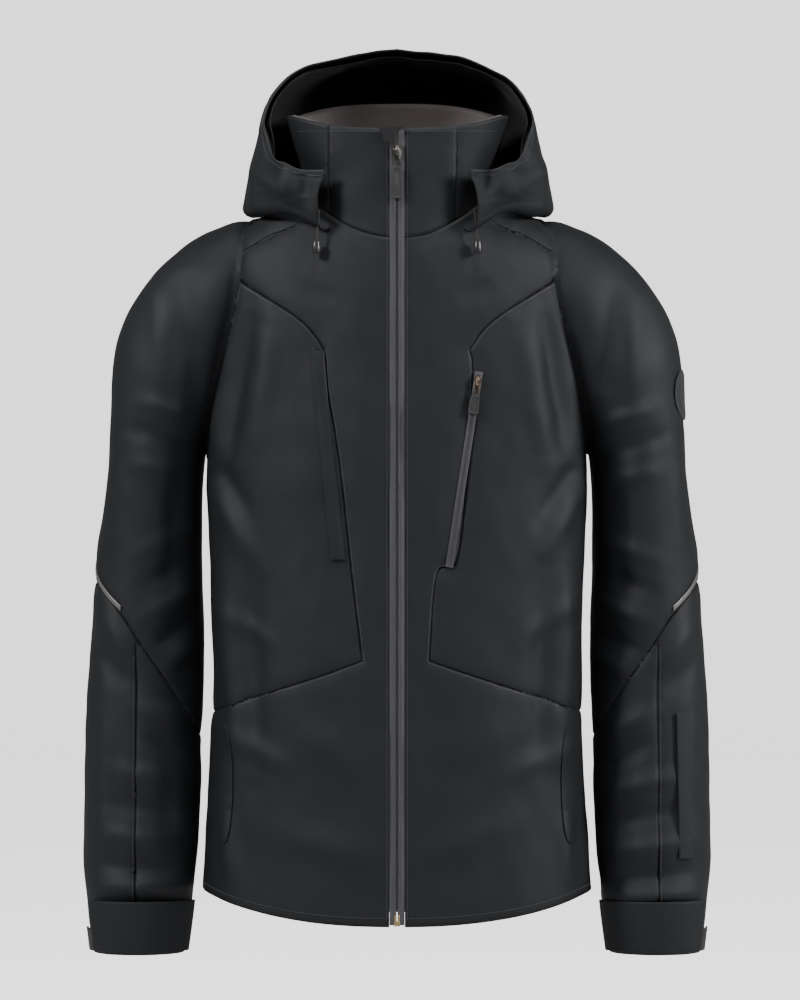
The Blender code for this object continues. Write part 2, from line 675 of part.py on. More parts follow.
def make_chest_pocket(tree):
    """The zipped pocket on the left chest: tape, slider with its pull, and the bag behind."""
    axes, top, low = chest_zip_frame(tree)
    run = (top - low).length
    frame = Matrix.Translation(top) @ axes
    size = (0.0076, TAPE_THICK, run - 0.001)
    tape = local_block("pocket_zip_tape", frame, size, (0, TAPE_THICK / 2, -run / 2), "zip_tape")
    boolean(tape, [local_block("slit", frame, (2 * SLIT, 0.01, run - 0.006), (0, 0, -run / 2))])
    place = frame @ Matrix.Translation((0, 0.0005, -0.0110))
    make_slider("pocket_slider", place, *POCKET_SLIDER)
    hinge = place @ Matrix.Translation((0, 0, -0.0020))
    make_pull(("pocket_pull_link", "pocket_pull_tab"), hinge, POCKET_PULL_Y, POCKET_LINK, POCKET_TAB)
    body_patch("chest_pocket_bag", (0.045, 0.125), (7.5, 10.2), "lining_fabric", -0.0065, 0.0020, (5, 6))


def slot_prism(tree):
    (x0, z0), (x1, z1) = CHEST_ZIP
    along = Vector((x0 - x1, z0 - z1)).normalized()
    across = Vector((along.y, -along.x)) * SLOT_HALF
    ends = [Vector((x0, z0)) + along * 0.0005, Vector((x1, z1)) - along * 0.0005]
    outline = [ends[0] + across, ends[0] - across, ends[1] - across, ends[1] + across]
    return prism("chest_slot", [tuple(point) for point in outline], -0.3, 0.0)


def make_welts():
    """Flaps over the concealed chest zip and over the two hand pockets."""
    flap = body_patch("chest_welt_right", (0.88, 0.97), (7.0, 11.4), "shell_fabric", 0.0028, 0.0015, (10, 14))
    boolean(flap, [prism("welt_outline", CHEST_WELT, -0.3, 0.0)], "INTERSECT")
    lens = []
    for index in range(16):
        angle = 2 * math.pi * index / 16
        lens.append((HAND_POCKET[0] + HAND_POCKET_HALF[0] * math.sin(angle),
                     HAND_POCKET[1] + HAND_POCKET_HALF[1] * math.cos(angle)))
    welt = body_patch("hand_pocket_welt_left", (0.12, 0.22), (11.6, 13.4), "shell_fabric",
                      0.0030, 0.0014, (8, 8))
    boolean(welt, [prism("lens_outline", lens, -0.3, 0.02)], "INTERSECT")
    mirror_copy(welt, "hand_pocket_welt_right")


# ---------------------------------------------------------------- assembly
def main():
    body_skin = wrapped("body_skin", body, *BODY_STEPS, v_range=(0.0, len(BODY_ROWS) - 1), closed=True)
    tree = BVHTree.FromBMesh(body_skin)
    body_skin.free()
    rows = (COLLAR_ROWS + 0.03, len(BODY_ROWS) - 1)
    solid = wrapped("body_plug", body, *BODY_STEPS, v_range=rows, closed=True)
    body_plug = filled("body_plug", solid, torso_inside, GAP)
    tube = wrapped("sleeve_plug", sleeve, *SLEEVE_STEPS, v_range=(0.0, CUFF_ROW), closed=True)
    sleeve_plug = filled("sleeve_plug", tube, sleeve_inside, GAP)
    plugs = [sleeve_plug, mirror_copy(sleeve_plug, "sleeve_plug_right", cutter=True)]
    make_body(plugs, [slot_prism(tree)])
    make_collar()
    make_lining(plugs)
    make_sleeves(body_plug)
    make_hood()
    make_hood_cords()
    make_front_zip()
    make_chest_pocket(tree)
    make_welts()
    make_hanger_loop()
    for obj in JACKET.objects:
        obj.data.transform(Matrix.Translation((0.0, -HANG_Y, 0.0)))


clear_scene()
JACKET = new_collection("ski_jacket")
CUTTERS = new_collection("cutters")
MATERIALS = {name: new_material(name) for name in COLOURS}
main()
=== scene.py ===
"""Ski jacket, visual model.

Every fabric piece starts as a grid wrapped on the surface that its pattern follows (body, sleeve or
hood), is cut along its seams, and is then dressed: seams sink in, folds rise, and stitches are laid.
Sizes are in metres. The pattern's own frame has its middle 42 mm in front of the hanger loop.
"""

import math

import bmesh
import bpy
import numpy as np
from mathutils import Matrix, Vector, noise
from mathutils.bvhtree import BVHTree
from mathutils.kdtree import KDTree


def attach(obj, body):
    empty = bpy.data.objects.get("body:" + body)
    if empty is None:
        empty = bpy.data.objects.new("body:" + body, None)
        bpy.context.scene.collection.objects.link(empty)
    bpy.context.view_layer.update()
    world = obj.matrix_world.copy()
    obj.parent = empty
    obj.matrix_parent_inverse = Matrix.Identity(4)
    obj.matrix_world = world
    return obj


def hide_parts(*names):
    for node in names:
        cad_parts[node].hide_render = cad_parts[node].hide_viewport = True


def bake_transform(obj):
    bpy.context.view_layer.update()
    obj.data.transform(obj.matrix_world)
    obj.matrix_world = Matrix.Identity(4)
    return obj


bl_info = {
    "name": "Ski jacket",
    "version": (1, 0, 0),
    "blender": (4, 5, 0),
    "location": "3D View > Sidebar > Jacket",
    "description": "Builds a ski jacket with a hood, zips, pockets and cuffs",
    "category": "Object",
}

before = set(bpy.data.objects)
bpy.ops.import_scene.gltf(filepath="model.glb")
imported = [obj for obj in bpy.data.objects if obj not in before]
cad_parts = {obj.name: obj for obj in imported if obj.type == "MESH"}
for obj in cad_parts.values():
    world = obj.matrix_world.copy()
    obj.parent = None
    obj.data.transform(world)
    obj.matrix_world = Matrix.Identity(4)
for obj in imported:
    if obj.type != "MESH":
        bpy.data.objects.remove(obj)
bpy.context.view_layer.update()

# ---------------------------------------------------------------- the pattern's driving sizes
PATTERN_Y = -0.042  # the pattern's middle, in the frame of the hanger loop
COLLAR_TOP_Z = 0.0455
HEM_FRONT_Z = -0.757
ZIP_TOP_Y = -0.103
ZIP_HEM_Y = -0.150
CUFF_Z = -0.793
CUFF_ROW = 10.36
COLLAR_ROWS = 3

# Rings from the collar's rim to the hem: z at front, side and back, half width, y at back, squareness
BODY_ROWS = [
    (COLLAR_TOP_Z, 0.063, 0.083, 0.1140, 0.056, 2.9),
    (0.010, 0.040, 0.054, 0.1080, 0.058, 2.6),
    (-0.030, 0.012, 0.020, 0.1010, 0.060, 2.3),
    (-0.066, -0.012, -0.004, 0.1000, 0.062, 2.1),
    (-0.080, -0.024, -0.014, 0.1250, 0.074, 2.1),
    (-0.098, -0.042, -0.034, 0.1500, 0.089, 2.1),
    (-0.128, -0.072, -0.068, 0.1760, 0.105, 2.2),
    (-0.170, -0.132, -0.130, 0.1880, 0.119, 2.3),
    (-0.225, -0.210, -0.210, 0.1930, 0.126, 2.4),
    (-0.290, -0.285, -0.285, 0.1960, 0.124, 2.4),
    (-0.400, -0.395, -0.395, 0.1930, 0.113, 2.4),
    (-0.500, -0.495, -0.495, 0.1890, 0.107, 2.4),
    (-0.600, -0.590, -0.595, 0.1910, 0.114, 2.4),
    (-0.690, -0.670, -0.680, 0.1960, 0.124, 2.4),
    (HEM_FRONT_Z, -0.727, -0.742, 0.2000, 0.131, 2.4),
]
# Rings of the left sleeve from shoulder to cuff: centre, tilt, half sizes across and front to back
SLEEVE_ROWS = [
    (0.1400, 0.004, -0.105, 90, 0.066, 0.060),
    (0.1720, 0.005, -0.124, 84, 0.076, 0.072),
    (0.2060, 0.007, -0.157, 66, 0.080, 0.078),
    (0.2320, 0.009, -0.205, 42, 0.071, 0.078),
    (0.2430, 0.010, -0.255, 18, 0.0545, 0.074),
    (0.2490, 0.011, -0.310, 3, 0.0500, 0.070),
    (0.2555, 0.012, -0.400, 0, 0.0545, 0.066),
    (0.2590, 0.006, -0.500, 0, 0.0590, 0.063),
    (0.2610, -0.004, -0.600, 0, 0.0600, 0.060),
    (0.2630, -0.014, -0.690, 0, 0.0585, 0.056),
    (0.2640, -0.019, -0.745, 0, 0.0545, 0.052),
    (0.2645, -0.022, CUFF_Z, 0, 0.0485, 0.047),
]
# Half of the hood, from the centre back to the front end: the opening's edge, the fullest point, the base
HOOD_RIBS = [
    (0.000, 0.022, 0.137, 0.000, 0.175, 0.128, 0.000, 0.108, -0.012),
    (0.067, 0.014, 0.127, 0.085, 0.158, 0.112, 0.066, 0.104, -0.014),
    (0.114, -0.010, 0.103, 0.138, 0.095, 0.088, 0.128, 0.078, -0.022),
    (0.139, -0.034, 0.063, 0.146, 0.018, 0.050, 0.160, 0.020, -0.028),
    (0.129, -0.068, 0.024, 0.154, -0.058, 0.018, 0.150, -0.050, -0.030),
    (0.106, -0.094, 0.007, 0.124, -0.098, -0.010, 0.118, -0.088, -0.030),
    (0.072, -0.108, 0.003, 0.086, -0.114, -0.022, 0.080, -0.106, -0.048),
]
# Seams in the front view (x, z), drawn for the wearer's left and mirrored
RAGLAN_SEAM = [(0.060, 0.060), (0.082, -0.020), (0.100, -0.049), (0.131, -0.062), (0.162, -0.080),
               (0.183, -0.093), (0.206, -0.112), (0.240, -0.140)]
YOKE_SEAM = [(0.183, -0.093), (0.146, -0.117), (0.108, -0.141), (0.088, -0.158), (0.0735, -0.179)]
RIGHT_POCKET_SEAM = [(0.0735, -0.179), (0.0700, -0.222), (0.0640, -0.255), (0.0560, -0.310), (0.0475, -0.390),
                     (0.0352, -0.4915)]
LEFT_POCKET_SEAM = [(0.0735, -0.179), (0.0765, -0.205), (0.0705, -0.300), (0.0600, -0.390), (0.0400, -0.405),
                    (0.0326, -0.4915)]
BELLY_SEAM = [(0.0352, -0.4915), (0.0770, -0.507), (0.1200, -0.521), (0.1655, -0.537), (0.2400, -0.565)]
ELBOW_SEAM = [(0.3450, -0.378), (0.2875, -0.4405), (0.2640, -0.474), (0.2236, -0.531), (0.1876, -0.5947),
              (0.1500, -0.654)]
FOREARM_SEAM_X = 0.2660
SIDE_SEAM_Y = 0.012
SIDES = (("left", 1), ("right", -1))
WELD = 1e-5  # vertices this close become one
CUT_SNAP = 1e-6  # how near a cut passes a vertex before it uses it
SEAM_BAND = 0.0016  # the narrow row of faces beside each seam


def fabric():
    """The panel's fabric settings."""
    return bpy.context.scene.jacket_fabric


# ---------------------------------------------------------------- surfaces
def smooth_rows(rows, at):
    """Values of a list of rows at a fractional row number, on a Catmull-Rom curve."""
    first = max(0, min(len(rows) - 2, int(at)))
    t = at - first
    a, b, c, d = (rows[max(0, min(len(rows) - 1, first + step))] for step in (-1, 0, 1, 2))
    return [
        q + 0.5 * t * (r - p + t * (2 * p - 5 * q + 4 * r - s + t * (3 * (q - r) + s - p)))
        for p, q, r, s in zip(a, b, c, d)
    ]


def power_of(value, exponent):
    return math.copysign(abs(value) ** exponent, value)


def zip_y(z):
    """The straight line of the front zip, seen from the side."""
    share = (COLLAR_TOP_Z - z) / (COLLAR_TOP_Z - HEM_FRONT_Z)
    return ZIP_TOP_Y + (ZIP_HEM_Y - ZIP_TOP_Y) * share


def body(turn, row):
    """The body and collar; turn 0 is the centre front and 0.25 the wearer's left side."""
    z_front, z_side, z_back, half_width, y_back, squareness = smooth_rows(BODY_ROWS, row)
    cosine, sine = math.cos(2 * math.pi * turn), math.sin(2 * math.pi * turn)
    x = half_width * power_of(sine, 2 / squareness)
    reach = abs(cosine) ** (2 / squareness)
    y_end, z_end = (zip_y(z_front), z_front) if cosine > 0 else (y_back, z_back)
    return Vector((x, -0.010 + (y_end + 0.010) * reach, z_side + (z_end - z_side) * cosine * cosine))


def sleeve(turn, row):
    """The left sleeve; turn 0 is its front and 0.25 its outer side."""
    x, y, z, tilt, half_x, half_y = smooth_rows(SLEEVE_ROWS, row)
    across = half_x * math.sin(2 * math.pi * turn)
    lean = math.radians(tilt)
    y -= half_y * math.cos(2 * math.pi * turn)
    return Vector((x + across * math.cos(lean), y, z + across * math.sin(lean)))


def hood(along, down):
    """The hood; along runs from the right front end over the back to the left one.

    Past its base (down over 1) the cloth rolls in under itself.
    """
    side = abs(along - 0.5) * 2
    ribs = smooth_rows(HOOD_RIBS, side * (len(HOOD_RIBS) - 1))
    edge, full, base = Vector(ribs[0:3]), Vector(ribs[3:6]), Vector(ribs[6:9])
    t = min(down, 1.0)
    point = edge * (1 - t) ** 2 + full * 2 * t * (1 - t) + base * t * t
    if down > 1:
        inward = Vector((-base.x, -base.y - 0.02, 0)).normalized()
        angle = (down - 1) / 0.2 * math.pi * 0.9
        point = base + inward * 0.010 * (1 - math.cos(angle)) + Vector((0, 0, -0.010 * math.sin(angle)))
    point.x = math.copysign(point.x, along - 0.5) if side > 1e-9 else 0.0
    return point


def even_rows(surface, turn, first, last, count=200):
    """Row numbers that lie at even distances along a surface."""
    rows = np.linspace(first, last, count)
    points = np.array([surface(turn, row) for row in rows])
    run = np.concatenate([[0], np.cumsum(np.linalg.norm(np.diff(points, axis=0), axis=1))])
    return lambda share: float(np.interp(share * run[-1], run, rows)), run[-1]


# ---------------------------------------------------------------- mesh helpers
def wrapped(surface, turns, rows, step, girth, guide_turn=0.25, closed=False):
    """A grid of about step-sized squares on a surface, with its cloth laid flat in a UV map."""
    row_at, length = even_rows(surface, guide_turn, *rows)
    across = max(2, round(girth * (turns[1] - turns[0]) / step))
    down = max(1, round(length / step))
    bm = bmesh.new()
    bmesh.ops.create_grid(bm, x_segments=across, y_segments=down, size=0.5)
    layer = bm.loops.layers.uv.new("cloth")
    places = {}
    for vertex in bm.verts:
        turn = turns[0] + (turns[1] - turns[0]) * (vertex.co.x + 0.5)
        share = vertex.co.y + 0.5
        places[vertex] = (turn * girth, share * length)
        vertex.co = surface(turn, row_at(share))
    for face in bm.faces:
        for loop in face.loops:
            loop[layer].uv = places[loop.vert]
    if closed:
        bmesh.ops.remove_doubles(bm, verts=bm.verts, dist=WELD)
    bm.normal_update()
    return bm


def turn_outwards(bm, inside):
    """Makes the faces look away from the point that inside gives for each of them."""
    votes = 0
    for face in bm.faces:
        middle = face.calc_center_median()
        votes += 1 if face.normal.dot(middle - inside(middle)) > 0 else -1
    if votes < 0:
        bmesh.ops.reverse_faces(bm, faces=bm.faces)
    bm.normal_update()


def body_axis(point):
    return Vector((0.0, 0.0, min(-0.12, point.z)))


def neck_axis(point):
    return Vector((0.0, -0.02, point.z))


def sleeve_axis(point):
    return min((Vector(row[:3]) for row in SLEEVE_ROWS), key=lambda middle: (middle - point).length)


def curve_through(points, count=5):
    """A smooth line through a seam's points, with count pieces between two of them."""
    steps = (len(points) - 1) * count
    return [tuple(smooth_rows(points, index / count)) for index in range(steps + 1)]


def on_side(sign, line):
    """A line drawn for the wearer's left, on the left (1) or the right (-1)."""
    return [(x * sign, z) for x, z in line]


def belly_seam(pocket):
    """The seam that runs from the foot of a pocket seam out to the side."""
    return [pocket[-1], *BELLY_SEAM[1:]]


def shifted(line, distance):
    """A line beside another one in the front view."""
    found = []
    for index, (x, z) in enumerate(line):
        before, after = line[max(0, index - 1)], line[min(len(line) - 1, index + 1)]
        along = Vector((after[0] - before[0], after[1] - before[1])).normalized()
        found.append((x - along.y * distance, z + along.x * distance))
    return found


def line_distance(points, line):
    """Distance of many points (x, z) from a line, and how far along the line the nearest spot is."""
    best = np.full(len(points), 9.0)
    along = np.zeros(len(points))
    run = 0.0
    for a, b in zip(line, line[1:]):
        a, b = np.array(a), np.array(b)
        d = b - a
        size = np.linalg.norm(d)
        t = np.clip(((points - a) @ d) / size**2, 0, 1)
        gap = np.linalg.norm(points - (a + t[:, None] * d), axis=1)
        nearer = gap < best
        best[nearer] = gap[nearer]
        along[nearer] = run + t[nearer] * size
        run += size
    return best, along


def flat_of(bm):
    """The front-view places of all vertices, and their depths."""
    return np.array([(v.co.x, v.co.z) for v in bm.verts]), np.array([v.co.y for v in bm.verts])


def cut_along(bm, line, allowed):
    """Cuts the mesh along a line of the front view, where allowed says yes to a face's centre."""
    faces = list(bm.faces)
    centres = [face.calc_center_median() for face in faces]
    gaps, _ = line_distance(np.array([(c.x, c.z) for c in centres]), line)
    pool = {face for face, c, gap in zip(faces, centres, gaps) if gap < 0.012 and allowed(c)}
    for (x0, z0), (x1, z1) in zip(line, line[1:]):
        middle = Vector(((x0 + x1) / 2, (z0 + z1) / 2))
        reach = math.hypot(x1 - x0, z1 - z0) / 2 + 0.006
        local = []
        for face in pool:
            c = face.calc_center_median()
            if math.hypot(c.x - middle.x, c.z - middle.y) < reach:
                local.append(face)
        if not local:
            continue
        geom = list({item for face in local for item in (*face.verts, *face.edges, face)})
        made = bmesh.ops.bisect_plane(
            bm, geom=geom, plane_co=(x0, 0, z0), plane_no=(z1 - z0, 0, x0 - x1), dist=CUT_SNAP)
        pool = {face for face in pool if face.is_valid}
        pool |= {item for item in made["geom"] if isinstance(item, bmesh.types.BMFace)}


def crumple(bm, folds, size=1.0):
    """Moves vertices along their normals by the folds' height and a little unevenness.

    A fold is (x0, z0, x1, z1, width, height, side); side is -1 for the front, 1 for the back, 0 for both.
    """
    bm.normal_update()
    points, depth = flat_of(bm)
    lift = np.zeros(len(points))
    for x0, z0, x1, z1, width, height, side in folds:
        gap, along = line_distance(points, [(x0, z0), (x1, z1)])
        run = math.hypot(x1 - x0, z1 - z0)
        taper = np.sin(np.pi * np.clip(along / run, 0.04, 0.96)) ** 0.6
        weight = 1.0 if side == 0 else 1 / (1 + np.exp(-side * (depth + 0.005) / 0.012))
        lift += fabric().fold_strength * height * np.exp(-((gap / width) ** 2)) * taper * weight
    for vertex, move in zip(bm.verts, lift):
        p = vertex.co
        uneven = noise.noise(Vector((p.x * 16, p.y * 16, p.z * 9))) * 0.0016
        uneven += noise.noise(Vector((p.x * 45 + 9, p.y * 45, p.z * 30))) * 0.0006
        vertex.co = p + vertex.normal * (move + uneven * size * fabric().fold_strength)


def sink_seams(bm, lines, allowed, depth=0.0013):
    """Pulls the cloth in along its seams, with small puckers beside them."""
    bm.normal_update()
    points, _ = flat_of(bm)
    total = np.zeros(len(points))
    for line in lines:
        gap, along = line_distance(points, line)
        pucker = 0.5 + 0.5 * np.sin(along / 0.0045) * np.sin(along / 0.017)
        groove = depth * np.exp(-((gap / 0.0012) ** 2))
        dip = (0.0006 + 0.0007 * pucker) * np.exp(-((gap / 0.007) ** 2))
        total = np.maximum(total, groove + dip)
    for vertex, sink in zip(bm.verts, total):
        if sink > 1e-5 and allowed(vertex.co):
            vertex.co -= vertex.normal * sink


def encloses(outline, x, z):
    """Is the point (x, z) inside a closed outline?"""
    inside = False
    for (x0, z0), (x1, z1) in zip(outline, outline[1:] + outline[:1]):
        if (z0 > z) != (z1 > z) and x < x0 + (z - z0) * (x1 - x0) / (z1 - z0):
            inside = not inside
    return inside


def split_pieces(bm, name_of):
    """Separate meshes for the parts of a mesh, by the name that a face's middle gives; they share normals."""
    bm.faces.index_update()
    groups = {}
    for face in bm.faces:
        groups.setdefault(name_of(face.calc_center_median()), set()).add(face.index)
    found = {}
    for name, keep in groups.items():
        part = bm.copy()
        part.faces.ensure_lookup_table()
        bmesh.ops.delete(part, geom=[face for face in part.faces if face.index not in keep], context="FACES")
        found[name] = part
    bm.free()
    return found


shown = {}  # finished pieces by the name of what they stand for


def mirror_mesh(bm):
    bmesh.ops.scale(bm, vec=(-1, 1, 1), verts=bm.verts)
    bmesh.ops.reverse_faces(bm, faces=bm.faces)


def add_piece(name, bm, finish, body_name="root", slot=None, thickness=0.0, mirror=False, smooth_angle=None,
              move=True, made_for_cad=True):
    """Makes the finished object in the jacket's frame; it stands for the CAD piece of the same name."""
    if mirror:
        mirror_mesh(bm)
    if move:
        bmesh.ops.translate(bm, vec=(0, PATTERN_Y, 0), verts=bm.verts)
    mesh = bpy.data.meshes.new(name)
    bm.to_mesh(mesh)
    bm.free()
    obj = bpy.data.objects.new(f"{name}_look", mesh)
    shown[name] = obj
    bpy.context.scene.collection.objects.link(obj)
    mesh.materials.append(finish_of(finish))
    mesh.shade_smooth()
    if smooth_angle:
        mesh.set_sharp_from_angle(angle=math.radians(smooth_angle))
    if thickness:
        solid = obj.modifiers.new("thickness", "SOLIDIFY")
        solid.thickness = thickness
        solid.offset = -1.0
    if body_name:
        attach(obj, body_name)
    if made_for_cad:
        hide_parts(name)
    return obj


def surface_tree(names):
    """One search tree over the cloth of several finished pieces."""
    joined = bmesh.new()
    for name in names:
        joined.from_mesh(shown[name].data)
    tree = BVHTree.FromBMesh(joined)
    joined.free()
    return tree


def landed(tree, line, gap=0.0025):
    """Points and normals on the cloth along a line of the front view, at even small steps."""
    dense = []
    for (x0, z0), (x1, z1) in zip(line, line[1:]):
        count = max(1, round(math.hypot(x1 - x0, z1 - z0) / gap))
        dense += [(x0 + (x1 - x0) * i / count, z0 + (z1 - z0) * i / count) for i in range(count)]
    dense.append(line[-1])
    found = []
    for x, z in dense:
        spot, normal, _, _ = tree.ray_cast(Vector((x, -1, z)), Vector((0, 1, 0)))
        if spot is not None:
            found.append((spot, normal if normal.y < 0 else -normal))
    return found


# ---------------------------------------------------------------- finishes
class Sock:
    """A node's output that takes part in ordinary sums with numbers and other outputs."""

    def __init__(self, finish, socket):
        self.finish, self.socket = finish, socket

    def math(self, operation, other=None):
        values = [self] if other is None else [self, other]
        return self.finish.node("ShaderNodeMath", {"operation": operation}, *values)

    def __add__(self, other):
        return self.math("ADD", other)

    def __sub__(self, other):
        return self.math("SUBTRACT", other)

    def __mul__(self, other):
        return self.math("MULTIPLY", other)

    __radd__ = __add__
    __rmul__ = __mul__

    def sine(self):
        return self.math("SINE")

    def part(self, axis):
        split = self.finish.node("ShaderNodeSeparateXYZ", {}, self)
        return Sock(self.finish, split.socket.node.outputs[axis])


class Finish:
    """A material on a Principled BSDF; constants go straight onto the shader's sockets."""

    def __init__(self, name, colour, roughness, **constants):
        self.material = bpy.data.materials.new(name)
        self.material.use_nodes = True
        self.tree = self.material.node_tree
        self.shader = self.tree.nodes["Principled BSDF"]
        self.colour = colour
        self.set("Base Color", (*colour, 1.0))
        self.set("Roughness", roughness)
        for key, value in constants.items():
            self.set(key.replace("_", " "), value)

    def set(self, socket, value):
        if isinstance(value, Sock):
            self.tree.links.new(value.socket, self.shader.inputs[socket])
        else:
            self.shader.inputs[socket].default_value = value

    def node(self, kind, settings, *values, **named):
        made = self.tree.nodes.new(kind)
        for key, value in settings.items():
            setattr(made, key, value)
        for key, value in [*enumerate(values), *named.items()]:
            socket = made.inputs[key if isinstance(key, int) else key.replace("_", " ")]
            if isinstance(value, Sock):
                self.tree.links.new(value.socket, socket)
            else:
                socket.default_value = value
        return Sock(self, made.outputs[0])

    def place(self):
        coordinates = self.tree.nodes.new("ShaderNodeTexCoord")
        return Sock(self, coordinates.outputs["Object"])

    def cloth(self):
        return self.node("ShaderNodeUVMap", {"uv_map": "cloth"})

    def grain(self, scale, detail=3.0, where=None, stretch=None):
        where = where or self.place()
        if stretch:
            where = self.node("ShaderNodeMapping", {}, where, Scale=stretch)
        return self.node("ShaderNodeTexNoise", {}, where, Scale=scale, Detail=detail)

    def mix(self, amount, low, high):
        blend = self.tree.nodes.new("ShaderNodeMix")
        blend.data_type = "RGBA"
        for index, value in ((0, amount), (6, low), (7, high)):
            if isinstance(value, Sock):
                self.tree.links.new(value.socket, blend.inputs[index])
            else:
                blend.inputs[index].default_value = value if index == 0 else (*value[:3], 1.0)
        return Sock(self, blend.outputs[2])

    def bump(self, height, distance):
        self.set("Normal", self.node("ShaderNodeBump", {}, Height=height, Distance=distance, Strength=1.0))


def scaled(colour, factor):
    return tuple(channel * factor for channel in colour)


def woven(name, colour, roughness, pitch=0.0011, wear=0.16, sheen=0.0, rib=0.00008, twill=True):
    """A woven cloth: twill lines, a slubby grain, uneven dye and a soft sheen."""
    finish = Finish(name, colour, roughness, Sheen_Weight=sheen, Sheen_Roughness=0.45,
                    Specular_IOR_Level=0.27)
    where = finish.cloth()
    u, v = where.part("X"), where.part("Y")
    turns = 2 * math.pi / pitch
    across, along = (u * turns).sine(), (v * turns).sine()
    if twill:
        weave = ((u + v) * turns).sine() * 0.6 + across * 0.2 + along * 0.2
    else:
        weave = across * along
    slub = finish.grain(420.0, 2.0)
    patch = finish.grain(14.0, 4.0)
    shade = finish.mix(patch * 0.75 + slub * 0.25, scaled(colour, 1 - wear), scaled(colour, 1 + wear))
    finish.set("Base Color", finish.mix(weave * 0.25 + 0.3, shade, scaled(colour, 0.72)))
    finish.set("Roughness", patch * 0.16 + (roughness - 0.08))
    finish.bump(weave * 0.5 + slub * 0.9, rib)
    return finish.material


def moulded(name, colour, roughness, grain=0.00004, **constants):
    """Rubber or plastic with a fine spark-eroded grain and rubbed patches."""
    finish = Finish(name, colour, roughness, **constants)
    fine = finish.grain(1500.0, 2.0)
    rubbed = finish.grain(60.0, 3.0)
    finish.set("Base Color", finish.mix(rubbed, scaled(colour, 0.8), scaled(colour, 1.25)))
    finish.set("Roughness", rubbed * 0.2 + (roughness - 0.1))
    finish.bump(fine, grain)
    return finish.material


def lacquered(name, colour, roughness, worn):
    """Cast metal under a thin lacquer that is rubbed bright in places."""
    finish = Finish(name, colour, roughness, Metallic=0.9, Coat_Weight=0.3, Coat_Roughness=0.25)
    scratches = finish.grain(260.0, 5.0, stretch=(1.0, 1.0, 0.15))
    rubbed = (finish.grain(180.0, 4.0) - 0.52) * 6.0
    rubbed = rubbed.math("MAXIMUM", 0.0).math("MINIMUM", 1.0)
    finish.set("Base Color", finish.mix(rubbed, colour, worn))
    finish.set("Roughness", scratches * 0.25 + (roughness - 0.1))
    finish.bump(scratches, 0.00003)
    return finish.material


def fuzzy(name, colour):
    """Loop pile: a tangle of tiny loops, with a painted highlight on the loop tops and painted shade in the
    ground between them.
    """
    finish = Finish(name, colour, 0.95, Sheen_Weight=0.08, Sheen_Roughness=0.6, Specular_IOR_Level=0.2)
    loops = finish.node("ShaderNodeTexVoronoi", {}, finish.place(), Scale=900.0)
    tangle = finish.grain(700.0, 4.0)
    # painted highlight and shade: the colour brightens where the pile stands high and darkens in the low
    # ground between the loops
    finish.set("Base Color", finish.mix(loops * 0.6 + tangle * 0.4, scaled(colour, 0.5), scaled(colour, 1.7)))
    finish.bump(loops + tangle, 0.0005)
    return finish.material


def reflective(name, colour):
    """Transfer tape full of glass beads, on a fine printed grid."""
    finish = Finish(name, colour, 0.42, Metallic=0.25)
    beads = finish.node("ShaderNodeTexVoronoi", {}, finish.place(), Scale=2600.0)
    finish.set("Base Color", finish.mix(beads, scaled(colour, 0.75), scaled(colour, 1.25)))
    finish.bump(beads, 0.00005)
    return finish.material


SHELL_COLOUR = (0.0095, 0.0105, 0.0125)
FINISHES = {
    "shell": lambda: woven("shell_fabric", SHELL_COLOUR, 0.60),
    "hood_shell": lambda: woven("hood_fabric", scaled(SHELL_COLOUR, 0.92), 0.60),
    "nylon": lambda: woven("grey_nylon", (0.105, 0.125, 0.150), 0.42, 0.0005, 0.10, 0.05, 0.00004),
    "dark_nylon": lambda: woven("dark_nylon", (0.0075, 0.0078, 0.0088), 0.60, 0.0006, 0.2, 0.05, 0.00005),
    "satin": lambda: woven("taupe_tricot", (0.072, 0.060, 0.057), 0.55, 0.0008, 0.12, 0.2, 0.00008),
    "tape": lambda: woven("zip_tape", (0.070, 0.070, 0.079), 0.55, 0.0012, 0.1, 0.1, 0.00012, False),
    "binding": lambda: woven("binding_tape", (0.012, 0.012, 0.014), 0.7, 0.0014, 0.15, 0.1, 0.0002),
    "thread": lambda: moulded("sewing_thread", (0.045, 0.048, 0.055), 0.5),
    "coil": lambda: moulded("nylon_coil", (0.085, 0.085, 0.094), 0.35),
    "rubber": lambda: moulded("pull_rubber", (0.026, 0.027, 0.028), 0.5, 0.00005),
    "plastic": lambda: moulded("black_plastic", (0.014, 0.014, 0.016), 0.32),
    "badge": lambda: moulded("badge_rubber", (0.020, 0.021, 0.024), 0.45, 0.00006),
    "cord": lambda: woven("braided_cord", (0.013, 0.013, 0.015), 0.6, 0.0010, 0.3, 0.2, 0.0002, False),
    "slider": lambda: lacquered("dark_zinc", (0.050, 0.048, 0.046), 0.36, (0.30, 0.28, 0.26)),
    "bronze": lambda: lacquered("bronze_zinc", (0.085, 0.060, 0.045), 0.34, (0.34, 0.26, 0.19)),
    "brass": lambda: lacquered("worn_brass", (0.40, 0.30, 0.15), 0.34, (0.62, 0.52, 0.32)),
    "loops": lambda: fuzzy("loop_pile", (0.022, 0.021, 0.020)),
    "reflective": lambda: reflective("reflective_tape", (0.125, 0.118, 0.118)),
}
made_finishes = {}


def finish_of(name):
    if name not in made_finishes:
        made_finishes[name] = FINISHES[name]()
    return made_finishes[name]


# ---------------------------------------------------------------- small shapes
def path_frames(points):
    """Position, direction and normal at each of a list of (point, normal)."""
    found = []
    for index, (point, normal) in enumerate(points):
        before, after = points[max(0, index - 1)][0], points[min(len(points) - 1, index + 1)][0]
        along = (after - before).normalized()
        found.append((point, along, (normal - along * normal.dot(along)).normalized()))
    return found


LONGEST_STEP = 0.012  # a longer step between two points is where the path leaves the cloth


